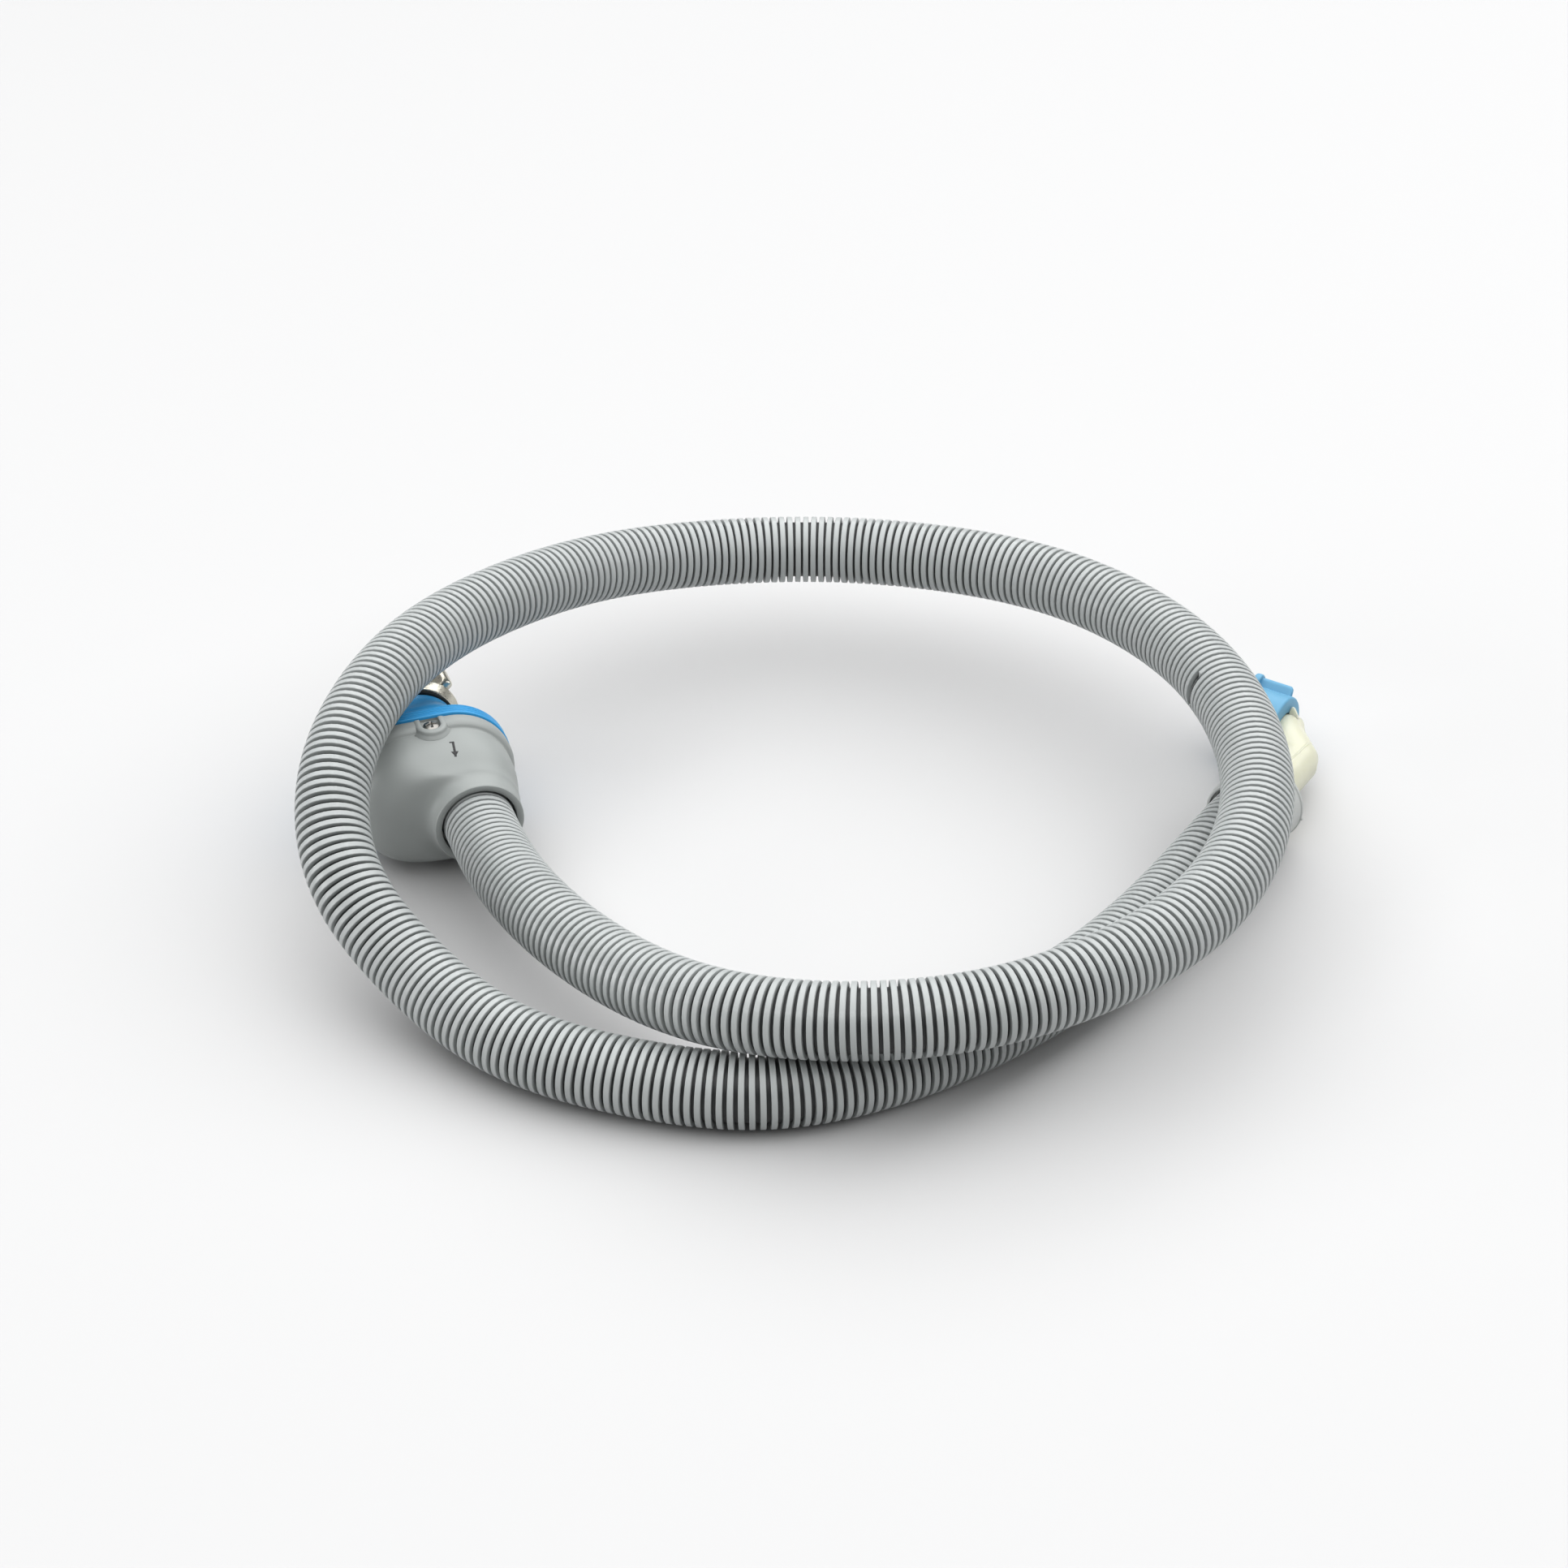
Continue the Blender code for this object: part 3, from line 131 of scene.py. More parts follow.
class Finish:
    """A Principled material. Fixed values go on its sockets, changing ones through wires."""

    def __init__(self, name, **fixed):
        self.material = bpy.data.materials.new(name)
        self.material.use_nodes = True
        self.tree = self.material.node_tree
        self.shader = self.tree.nodes["Principled BSDF"]
        for socket, value in fixed.items():
            socket = socket.replace("_", " ")
            if isinstance(value, tuple) and len(value) == 3 and "Radius" not in socket:
                value = (*value, 1)
            self.shader.inputs[socket].default_value = value

    def node(self, kind, settings, inputs, out=0):
        """A node with its settings, and its inputs as wires or values."""
        made = self.tree.nodes.new("ShaderNode" + kind)
        for key, value in settings.items():
            setattr(made, key, value)
        for key, value in inputs.items():
            if isinstance(value, Wire):
                self.tree.links.new(value.socket, made.inputs[key])
            else:
                made.inputs[key].default_value = value
        return Wire(self, made.outputs[out])

    def place(self, kind="Object"):
        """Coordinates: the part's own metres, or the piece's UV map."""
        return self.node("TexCoord", {}, {}, kind)

    def noise(self, where, scale, detail=3.0, rough=0.5):
        inputs = {"Vector": where, "Scale": scale, "Detail": detail, "Roughness": rough}
        return self.node("TexNoise", {}, inputs)

    def blend(self, share, first, second):
        """A colour from the first to the second by the share."""
        inputs = {0: share}
        for key, colour in ((6, first), (7, second)):
            inputs[key] = colour if isinstance(colour, Wire) else (*colour, 1)
        return self.node("Mix", {"data_type": "RGBA"}, inputs, 2)

    def set(self, socket, wire):
        self.tree.links.new(wire.socket, self.shader.inputs[socket])

    def bump(self, height, metres, strength=1.0):
        inputs = {"Height": height, "Distance": metres, "Strength": strength}
        self.set("Normal", self.node("Bump", {}, inputs))

    def skin(self, colours, tone, gloss, grain=None):
        """Two colours mixed by soft noise, an uneven gloss, and a fine grain where one is given.

        The tone is (scale, detail) of the noise, the gloss (scale, spread, least roughness) and
        the grain (scale, detail, metres, strength). Gives the coordinates and the colour.
        """
        spot = self.place()
        colour = self.blend(self.noise(spot, *tone), *colours)
        self.set("Base Color", colour)
        scale, spread, least = gloss
        self.set("Roughness", self.noise(spot, scale) * spread + least)
        if grain:
            scale, detail, metres, strength = grain
            self.bump(self.noise(spot, scale, detail), metres, strength)
        return spot, colour


table_finish = Finish("table_white", Roughness=0.55, Base_Color=TABLE_WHITE)
table_mesh = bpy.data.meshes.new("table")
corners = [(x * TABLE_HALF, y * TABLE_HALF, TABLE_TOP)
           for x, y in ((-1, -1), (1, -1), (1, 1), (-1, 1))]
table_mesh.from_pydata(corners, [], [(0, 1, 2, 3)])
table_mesh.materials.append(table_finish.material)
table = bpy.data.objects.new("table", table_mesh)
bpy.context.scene.collection.objects.link(table)

# The jacket: a blow-moulded polypropylene tube of 442 square ridges, light grey with a satin
# skin, with painted shade darkening its grooves and the mould's parting line along it. It holds
# back water that leaks from the hose inside.
HOSE_R = 0.0150
HOSE_BORE_R = 0.0122
HOSE_STRAIGHT = 0.014
HOSE_POINTS = (
    (-0.1174, -0.0839, 0.0340),
    (-0.0844, -0.1259, 0.0370),
    (-0.0414, -0.1599, 0.0435),
    (0.0097, -0.1719, 0.0476),
    (0.0616, -0.1639, 0.0492),
    (0.1086, -0.1389, 0.0505),
    (0.1466, -0.1009, 0.0530),
    (0.1677, -0.0539, 0.0570),
    (0.1716, -0.0009, 0.0590),
    (0.1607, 0.0501, 0.0600),
    (0.1367, 0.0961, 0.0590),
    (0.0997, 0.1341, 0.0570),
    (0.0536, 0.1591, 0.0540),
    (0.0026, 0.1711, 0.0520),
    (-0.0494, 0.1671, 0.0530),
    (-0.0974, 0.1451, 0.0590),
    (-0.1384, 0.1051, 0.0680),
    (-0.1704, 0.0601, 0.0736),
    (-0.1914, 0.0101, 0.0745),
    (-0.2014, -0.0369, 0.0647),
    (-0.1934, -0.0789, 0.0455),
    (-0.1664, -0.1109, 0.0270),
    (-0.1264, -0.1449, 0.0175),
    (-0.0794, -0.1649, 0.0155),
    (-0.0273, -0.1729, 0.0155),
    (0.0226, -0.1579, 0.0155),
    (0.0667, -0.1289, 0.0155),
    (0.1046, -0.0929, 0.0155),
    (0.1367, -0.0509, 0.0155),
)
RIDGES = 442
RIDGE_SHARE = 0.63
RIDGE_DEPTH = 0.0026
RIDGE_EDGE = 0.00022
HOSE_SIDES = 32
RIDGE_DRAFT = 0.00008
RIDGE_SLIP = 0.00002
MOULD_SLIP, MOULD_BLUR = 0.00003, 0.25
PARTING_LINE = ((0, 20), (60, 45), (148, 90), (297, 98), (RIDGES, 100))
MARK_RIDGE, MARK_FROM, MARK_TO, MARK_FILL = 149, 138, 200, 0.0003
HOSE_GREY = (0.46, 0.480, 0.478)
HOSE_DARK = (0.38, 0.400, 0.398)
# The near-black colour of the painted shade in the grooves, and where that shade starts past a
# ridge's edge.
PAINTED_GROOVE_SHADE = (0.055, 0.058, 0.059)
HOSE_FLECK = (0.66, 0.68, 0.68)
FLECK_SHARE, FLECK_BAND = 0.10, 0.012
GROOVE_SHADE_FROM, GROOVE_SHADE_SOFT = 0.000064, 0.00003
VALVE_AT, VALVE_YAW = (-0.17098, 0.0170, 0.0), math.radians(19.2)
ELBOW_AT, ELBOW_YAW = (0.17232, 0.0013, 0.0), math.radians(-33.0)
MOUTH_X, MOUTH_Y, HOUSING_Z = 0.0120, -0.0415, 0.0300
COLLAR_Z = 0.0187
HOSE_IN_MOUTH = 0.0110
HOSE_IN_COLLAR = 0.0067


def end_frame(at, yaw):
    """The map from an end's own coordinates to the part's: turned by yaw about Z, then moved."""
    turn = np.array(
        ((math.cos(yaw), -math.sin(yaw), 0), (math.sin(yaw), math.cos(yaw), 0), (0, 0, 1))
    )
    return lambda points: np.asarray(points, float) @ turn.T + np.array(at)


valve_end = end_frame(VALVE_AT, VALVE_YAW)
elbow_end = end_frame(ELBOW_AT, ELBOW_YAW)


def spline(knots, count):
    """Evenly spaced points on the natural cubic spline through the knots, in any dimension.

    The spline's second derivatives solve one tridiagonal system; between two knots it is the
    cubic that has their values and second derivatives, over the chord's length.
    """
    knots = np.array(knots, float)
    step = np.linalg.norm(np.diff(knots, axis=0), axis=1)
    run = np.append(0, np.cumsum(step))
    inner = np.arange(1, len(knots) - 1)
    system = np.eye(len(knots))
    system[inner, inner - 1] = step[:-1]
    system[inner, inner] = 2 * (step[:-1] + step[1:])
    system[inner, inner + 1] = step[1:]
    right = np.zeros_like(knots)
    right[1:-1] = 6 * np.diff(np.diff(knots, axis=0) / step[:, None], axis=0)
    bend = np.linalg.solve(system, right)
    length = np.linspace(0, run[-1], 24 * count)
    i = np.clip(np.searchsorted(run, length) - 1, 0, len(step) - 1)
    before, after = (length - run[i])[:, None], (run[i + 1] - length)[:, None]
    h = step[i][:, None]
    dense = (
        (bend[i] * after**3 + bend[i + 1] * before**3) / (6 * h)
        + (knots[i] / h - bend[i] * h / 6) * after
        + (knots[i + 1] / h - bend[i + 1] * h / 6) * before
    )
    run = np.append(0, np.cumsum(np.linalg.norm(np.diff(dense, axis=0), axis=1)))
    even = np.linspace(0, run[-1], count)
    return np.stack([np.interp(even, run, axis) for axis in dense.T], axis=1)


def rings_along(line, up=(0, 0, 1)):
    """Two unit arrows square to a line at each of its points: sideways, and as near up as can be."""
    along = np.gradient(line, axis=0)
    along /= np.linalg.norm(along, axis=1)[:, None]
    side = np.cross(along, np.array(up, float))
    side /= np.linalg.norm(side, axis=1)[:, None]
    return along, side, np.cross(side, along)


def tube_quads(rows, columns, closed=False):
    """The quads of a grid of rings, each joined to the next, and the last to the first if closed."""
    row = np.arange(rows if closed else rows - 1)[:, None]
    column = np.arange(columns)[None]
    onward, beside = (row + 1) % rows, (column + 1) % columns
    grid = [row * columns + column, row * columns + beside, onward * columns + beside,
            onward * columns + column]
    return np.stack(np.broadcast_arrays(*grid), axis=-1).reshape(-1, 4)


def put(name, shells, finish, body, stands_for=(), crease=40, merge=1e-7):
    """One object from closed shells, each an array of rings of points, with its finish.

    Each shell's faces are turned outwards by the sign of its volume, which is the sum over its
    faces of the determinant of three corners. Rings that shrink to a point are merged into one.
    """
    points, quads, start = [], [], 0
    for rings in shells:
        rows, columns = rings.shape[:2]
        flat = rings.reshape(-1, 3)
        faces = tube_quads(rows, columns, closed=True)
        a, b, c, d = (flat[faces[:, k]] for k in range(4))
        if (np.cross(a, b) * c + np.cross(a, c) * d).sum() < 0:
            faces = faces[:, ::-1]
        points.append(flat)
        quads.append(faces + start)
        start += len(flat)
    mesh = bpy.data.meshes.new(name)
    mesh.from_pydata(np.concatenate(points).tolist(), [], np.concatenate(quads).tolist())
    if merge:
        bm = bmesh.new()
        bm.from_mesh(mesh)
        bmesh.ops.remove_doubles(bm, verts=bm.verts, dist=merge)
        bm.to_mesh(mesh)
        bm.free()
    mesh.shade_smooth()
    mesh.set_sharp_from_angle(angle=math.radians(crease))
    mesh.materials.append(finish.material)
    made = bpy.data.objects.new(name, mesh)
    bpy.context.scene.collection.objects.link(made)
    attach(made, body)
    if stands_for:
        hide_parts(*stands_for)
    return made


route_knots = [
    *valve_end([(MOUTH_X, MOUTH_Y + HOSE_IN_MOUTH, HOUSING_Z), (MOUTH_X, MOUTH_Y, HOUSING_Z),
                (MOUTH_X, MOUTH_Y - HOSE_STRAIGHT, HOUSING_Z)]),
    *np.array(HOSE_POINTS),
    *elbow_end([(0, -HOSE_STRAIGHT, COLLAR_Z), (0, 0, COLLAR_Z), (0, HOSE_IN_COLLAR, COLLAR_Z)]),
]
hose_line = spline(route_knots, RIDGES * 4 + 1)
hose_length = np.linalg.norm(np.diff(hose_line, axis=0), axis=1).sum()
hose_along, hose_side, hose_up = rings_along(hose_line)

pitch = hose_length / RIDGES
half_ridge = pitch * RIDGE_SHARE / 2
ridge_offsets = np.array((-half_ridge - RIDGE_DRAFT, -half_ridge, -half_ridge + RIDGE_EDGE,
                          half_ridge - RIDGE_EDGE, half_ridge, half_ridge + RIDGE_DRAFT))
ridge_drops = np.array((RIDGE_DEPTH, RIDGE_EDGE, 0, 0, RIDGE_EDGE, RIDGE_DEPTH))
turn = np.arange(HOSE_SIDES) * 2 * math.pi / HOSE_SIDES


def hose_rings(at, offsets, radii):
    """Rings about the hose's line: centre + along * offset + radius * (cos side + sin up)."""
    out = (np.cos(turn)[:, None] * hose_side[at][:, None]
           + np.sin(turn)[:, None] * hose_up[at][:, None])
    rings = (hose_line[at][:, None, None] + hose_along[at][:, None, None] * offsets[..., None]
             + out[:, None] * radii[..., None])
    return rings.reshape(-1, HOSE_SIDES, 3)


ridge = np.arange(RIDGES)
chance = np.random.default_rng(11)
parting = np.radians(np.interp(ridge, *np.array(PARTING_LINE, float).T))[:, None, None]
half = np.tanh(np.sin(turn - parting) / MOULD_BLUR)
ridge_slip = chance.normal(0, RIDGE_SLIP, RIDGES)[:, None, None] + half * MOULD_SLIP
ridge_low = np.abs(chance.normal(0, RIDGE_SLIP, RIDGES))[:, None, None]
radii = np.broadcast_to(HOSE_R - ridge_drops[None, :, None] - ridge_low,
                        (RIDGES, 6, HOSE_SIDES)).copy()
cut = (turn > math.radians(MARK_FROM)) & (turn < math.radians(MARK_TO))
radii[MARK_RIDGE, 2:5, cut] = HOSE_R - RIDGE_DEPTH
radii[MARK_RIDGE, 0, cut] = radii[MARK_RIDGE - 1, 5, cut] = HOSE_R - MARK_FILL
offsets = np.broadcast_to(ridge_offsets[None, :, None], radii.shape) + ridge_slip
ridges = hose_rings(2 + 4 * ridge, offsets, radii)
bore_at = np.linspace(len(hose_line) - 1, 0, RIDGES // 3).astype(int)
bore = hose_rings(bore_at, np.zeros((len(bore_at), 1, 1)),
                  np.full((len(bore_at), 1, HOSE_SIDES), HOSE_BORE_R))

hose_finish = Finish("satin_grey_jacket", Specular_IOR_Level=0.5)
spot, grey = hose_finish.skin((HOSE_DARK, HOSE_GREY), (45.0, 4.0), (160.0, 0.16, 0.34),
                              (2200.0, 2.0, 0.00002, 0.4))
run, seam = (hose_finish.node("SeparateXYZ", {}, {0: hose_finish.place("UV")}, axis)
             for axis in (0, 1))
# Painted shade: the grooves between the ridges are coloured near black, standing in for the shade
# that falls in them, while the ridges keep the grey.
pitches = run / pitch + 0.5
from_crest = abs(pitches.maths("FRACT", pitches) - 0.5) * pitch
unshaded_crest = from_crest.within(half_ridge + GROOVE_SHADE_FROM, GROOVE_SHADE_SOFT)
flecks = 1 - hose_finish.noise(spot, 700.0, 2.0).within(0.46, 0.04)
flecks = flecks * abs(seam - 0.5).within(FLECK_BAND, 0.008)
grey = hose_finish.blend(flecks * FLECK_SHARE, grey, HOSE_FLECK)
hose_finish.set("Base Color", hose_finish.blend(unshaded_crest, PAINTED_GROOVE_SHADE, grey))
hose = put("jacket", [np.concatenate([ridges, bore])], hose_finish, "hose",
           ["outer_hose"], crease=40, merge=0)

# The jacket's UV map: along its length in metres, and round it as a share of a turn, with the
# parting line at 0.5 although the line wanders a quarter turn along the hose.
mesh = hose.data
corner = np.empty(len(mesh.loops), int)
mesh.loops.foreach_get("vertex_index", corner)
row, column = np.divmod(corner, HOSE_SIDES)
faces = corner.reshape(-1, 4) % HOSE_SIDES
wraps = np.repeat((faces == 0).any(axis=1) & (faces == HOSE_SIDES - 1).any(axis=1), 4)
column = column + np.where(wraps & (column == 0), HOSE_SIDES, 0)
at_ridge = np.minimum(row // 6, RIDGES - 1)
round_hose = column / HOSE_SIDES - parting[at_ridge, 0, 0] / (2 * math.pi) + 0.5
run_along = at_ridge * pitch + ridge_offsets[np.minimum(row, 6 * RIDGES - 1) % 6]
uv = np.stack([run_along, round_hose], axis=1)
mesh.uv_layers.new(name="along_and_round").data.foreach_set("uv", uv.astype(np.float32).ravel())

# The valve housing: a shell of grey ABS with a rolled bead at its seam and flat flanks, drawn in
# to a round mouth for the jacket. A horseshoe boss on top holds the cover's screw.
SHELL_HALF_W, SHELL_HALF_H = 0.0368, 0.0297
SIDE_FLAT = 0.0026
BEAD = 0.0018
MOUTH_R = 0.0159
LIP_R = 0.0190
SHELL_WALL = 0.0020
SHELL_GREY = (0.31, 0.328, 0.322)
SHELL_GREY_PALE = (0.335, 0.353, 0.347)
PRINT_BLACK = (0.02, 0.02, 0.022)
BODY_STATIONS = (
    (-0.0403, MOUTH_X, HOUSING_Z, LIP_R, LIP_R, 0.0),
    (-0.0350, 0.0115, 0.0300, 0.0200, 0.0197, 0.0001),
    (-0.0320, 0.0070, 0.0300, 0.0250, 0.0210, 0.0005),
    (-0.0280, 0.0025, 0.0298, 0.0300, 0.0230, 0.0010),
    (-0.0220, 0.0005, 0.0297, 0.0332, 0.0256, SIDE_FLAT),
    (-0.0150, 0.0002, 0.0299, 0.0343, 0.0269, SIDE_FLAT),
    (-0.0094, 0.0000, 0.0300, SHELL_HALF_W - BEAD - 0.0006, SHELL_HALF_H - BEAD - 0.0006, SIDE_FLAT),
)
BEAD_PROFILE = ((-0.0088, -0.0007), (-0.0081, -0.0006), (-0.0074, 0.0008), (-0.0056, BEAD),
                (-0.0012, BEAD), (0.0, 0.0008))
LIP_PROFILE = ((-0.0400, MOUTH_R), (-0.0410, MOUTH_R + 0.0001), (-0.0414, MOUTH_R + 0.0006),
               (-0.0415, LIP_R - 0.0009), (-0.0413, LIP_R - 0.0003), (-0.0408, LIP_R))
SCREW_AT = (0.0019, -0.0060)
POCKET_R, POCKET_FLOOR = 0.0039, 0.0578
BOSS_PROFILE = ((0.0563, 0.0), (0.0563, 0.0084), (0.0574, 0.0080), (0.0580, 0.0070),
                (0.0588, 0.0067), (0.0595, 0.0065), (0.0599, 0.0061), (0.0601, 0.0053),
                (0.0601, 0.0))
POCKET_PROFILE = ((POCKET_FLOOR, 0.0), (POCKET_FLOOR, 0.0036), (0.0581, POCKET_R),
                  (0.0597, POCKET_R), (0.0600, 0.0041), (0.0602, 0.0045), (0.0630, 0.0046),
                  (0.0630, 0.0))
ARROW_TOP, ARROW_TIP = (0.0082, -0.0171), (0.0073, -0.0248)
ARROW_HALF, ARROW_SOFT = 0.00052, 0.00008
TICK_AT, TICK_REACH, TICK_HALF = 0.0005, 0.0010, 0.00040
HEAD_HALF_LENGTH, HEAD_SLOPE = 0.0013, 0.62
PRINT_ABOVE = 0.048


def rounded_ring(y, centre_x, centre_z, half_w, half_h, flat, count=120):
    """A ring square to Y: four arcs whose radius is the smaller half less flat, joined by
    straight sides, sampled evenly by length from the middle of the right side."""
    corner = min(half_w, half_h) - flat
    angle = np.arange(4)[:, None] * math.pi / 2 + np.linspace(0, math.pi / 2, 30)
    side_x, side_z = np.array(((1,), (-1,), (-1,), (1,))), np.array(((1,), (1,), (-1,), (-1,)))
    x = centre_x + side_x * (half_w - corner) + corner * np.cos(angle)
    z = centre_z + side_z * (half_h - corner) + corner * np.sin(angle)
    middle = [[centre_x + half_w, centre_z]]
    loop = np.concatenate([middle, np.stack([x.ravel(), z.ravel()], axis=1), middle])
    run = np.append(0, np.cumsum(np.linalg.norm(np.diff(loop, axis=0), axis=1)))
    even = np.arange(count) / count * run[-1]
    x, z = (np.interp(even, run, axis) for axis in loop.T)
    return np.stack([x, np.full(count, y), z], axis=1)


def rounded_rings(stations, count=120):
    """The rings of a loft, from rows of (y, centre x, centre z, half width, half height, flat)."""
    return np.array([rounded_ring(*station, count) for station in stations])


def softened(corners, radius, closed=False, steps=4):
    """Rounds the corners of an outline, each with a parabola that starts and ends the radius
    away from it, or 0.45 of a shorter side: a (1-t)^2 + 2 c t (1-t) + b t^2."""
    corners = np.array(corners, float)
    before, after = np.roll(corners, 1, axis=0) - corners, np.roll(corners, -1, axis=0) - corners

    def reach(side):
        length = np.linalg.norm(side, axis=1)[:, None]
        return corners + side * np.minimum(radius / np.maximum(length, 1e-9), 0.45)

    t = np.linspace(0, 1, steps)[None, :, None]
    start, end, corner = reach(before)[:, None], reach(after)[:, None], corners[:, None]
    arcs = start * (1 - t) ** 2 + 2 * corner * t * (1 - t) + end * t**2
    if closed:
        return arcs.reshape(-1, corners.shape[1])
    inner = arcs[1:-1].reshape(-1, corners.shape[1])
    return np.concatenate([corners[:1], inner, corners[-1:]])


def horseshoe(profile, seam, count=40):
    """Rings of (height, radius) about the screw: half a circle, and straight sides to the seam."""
    profile = np.array(profile)
    angle = math.pi + np.linspace(0, math.pi, count)
    share = np.minimum(profile[:, 1:] / POCKET_R, 1.0)
    x = SCREW_AT[0] + profile[:, 1:] * np.cos(angle)
    y = SCREW_AT[1] + profile[:, 1:] * np.sin(angle)
    side = np.linspace(0, 1, 5)[None, 1:]
    back = SCREW_AT[1] + share * (seam - SCREW_AT[1])
    right = SCREW_AT[1] + (back - SCREW_AT[1]) * side
    x = np.concatenate([x, np.repeat(x[:, -1:], 4, 1), np.repeat(x[:, :1], 4, 1)], axis=1)
    y = np.concatenate([y, right, right[:, ::-1]], axis=1)
    z = np.repeat(profile[:, :1], x.shape[1], axis=1)
    return np.stack([x, y, z], axis=-1)


def combined(piece, rings, operation, crease=40):
    """The piece's mesh joined with, or cut by, one more closed shell."""
    finish = piece.data.materials[0]
    flat = rings.reshape(-1, 3)
    quads = tube_quads(*rings.shape[:2], closed=True)
    tool_mesh = bpy.data.meshes.new("tool")
    tool_mesh.from_pydata(flat.tolist(), [], quads.tolist())
    bm = bmesh.new()
    bm.from_mesh(tool_mesh)
    bmesh.ops.remove_doubles(bm, verts=bm.verts, dist=1e-7)
    bmesh.ops.recalc_face_normals(bm, faces=bm.faces)
    bm.to_mesh(tool_mesh)
    bm.free()
    tool = bpy.data.objects.new("tool", tool_mesh)
    bpy.context.scene.collection.objects.link(tool)
    step = piece.modifiers.new("carve", "BOOLEAN")
    step.object, step.operation = tool, operation
    bpy.context.view_layer.update()
    graph = bpy.context.evaluated_depsgraph_get()
    mesh = bpy.data.meshes.new_from_object(piece.evaluated_get(graph))
    piece.modifiers.clear()
    piece.data = mesh
    bpy.data.objects.remove(tool)
    mesh.materials.clear()
    mesh.materials.append(finish)
    mesh.shade_smooth()
    mesh.set_sharp_from_angle(angle=math.radians(crease))


lip_rows = [(y, MOUTH_X, HOUSING_Z, r, r, 0.0) for y, r in LIP_PROFILE]
bead_rows = [
    (y, 0.0, HOUSING_Z, SHELL_HALF_W - BEAD + out, SHELL_HALF_H - BEAD + out, SIDE_FLAT)
    for y, out in softened(BEAD_PROFILE, 0.0011, steps=5)
]
inner_w, inner_h = SHELL_HALF_W - BEAD - SHELL_WALL, SHELL_HALF_H - BEAD - SHELL_WALL
inside_rows = [
    (0.0, 0.0, HOUSING_Z, inner_w, inner_h, SIDE_FLAT),
    (-0.0090, 0.0, HOUSING_Z, inner_w, inner_h, SIDE_FLAT),
    (-0.0220, 0.0005, 0.0297, 0.0312, 0.0236, SIDE_FLAT),
    (-0.0270, 0.0025, 0.0298, 0.0276, 0.0210, 0.0010),
    (-0.0300, 0.0080, 0.0300, 0.0218, 0.0193, 0.0003),
    (-0.0313, MOUTH_X, HOUSING_Z, 0.0185, 0.0185, 0.0),
    (-0.0353, MOUTH_X, HOUSING_Z, 0.0185, 0.0185, 0.0),
    (-0.0353, MOUTH_X, HOUSING_Z, MOUTH_R, MOUTH_R, 0.0),
]
shell_rows = [*lip_rows, *spline(BODY_STATIONS, 44), *bead_rows, *inside_rows]


def valve_axis(finish, where, direction, start):
    """A coordinate in the valve's frame: the part's point less the start, along a direction."""
    arrow = valve_end([direction])[0] - np.array(VALVE_AT)
    away = finish.node("VectorMath", {"operation": "SUBTRACT"},
                       {0: where, 1: tuple(valve_end([(*start, 0.0)])[0] * (1, 1, 0))})
    return finish.node("VectorMath", {"operation": "DOT_PRODUCT"}, {0: away, 1: tuple(arrow)}, 1)


def printed_arrow(finish, where):
    """The flow arrow as distances: its shaft and tick are boxes, and its head a triangle."""
    shaft = np.array(ARROW_TIP) - np.array(ARROW_TOP)
    length = np.linalg.norm(shaft)
    ahead = (*(shaft / length), 0.0)
    beside = (-ahead[1], ahead[0], 0.0)
    along = valve_axis(finish, where, ahead, ARROW_TOP)
    across = valve_axis(finish, where, beside, ARROW_TOP)
    middle = length / 2
    bar = abs(across).within(ARROW_HALF, ARROW_SOFT) * abs(along - middle).within(middle, ARROW_SOFT)
    tick = abs(across + TICK_AT).within(TICK_REACH, ARROW_SOFT)
    tick = tick * abs(along).within(TICK_HALF, ARROW_SOFT)
    head = (abs(across) + (along - length) * HEAD_SLOPE).within(0.0, ARROW_SOFT)
    head = head * abs(along - (length - HEAD_HALF_LENGTH)).within(HEAD_HALF_LENGTH, ARROW_SOFT)
    height = finish.node("SeparateXYZ", {}, {0: where}, 2)
    ink = finish.node("Clamp", {}, {0: bar + tick + head})
    return ink * (1 - height.within(PRINT_ABOVE, ARROW_SOFT))


shell_finish = Finish("moulded_grey_shell", Specular_IOR_Level=0.45)
spot, plastic = shell_finish.skin((SHELL_GREY, SHELL_GREY_PALE), (60.0, 4.0), (240.0, 0.14, 0.4),
                                  (3200.0, 1.0, 0.00002, 0.35))
ink = printed_arrow(shell_finish, spot)
wear = shell_finish.noise(spot, 900.0, 2.0) * 0.5 + 0.72
ink = ink * shell_finish.node("Clamp", {}, {0: wear})
shell_finish.set("Base Color", shell_finish.blend(ink, plastic, PRINT_BLACK))

shell = put("housing_shell", [valve_end(rounded_rings(shell_rows))], shell_finish,
            "hose", ["valve_housing"])
combined(shell, valve_end(horseshoe(BOSS_PROFILE, -0.0013)), "UNION")
combined(shell, valve_end(horseshoe(POCKET_PROFILE, -0.0008)), "DIFFERENCE")

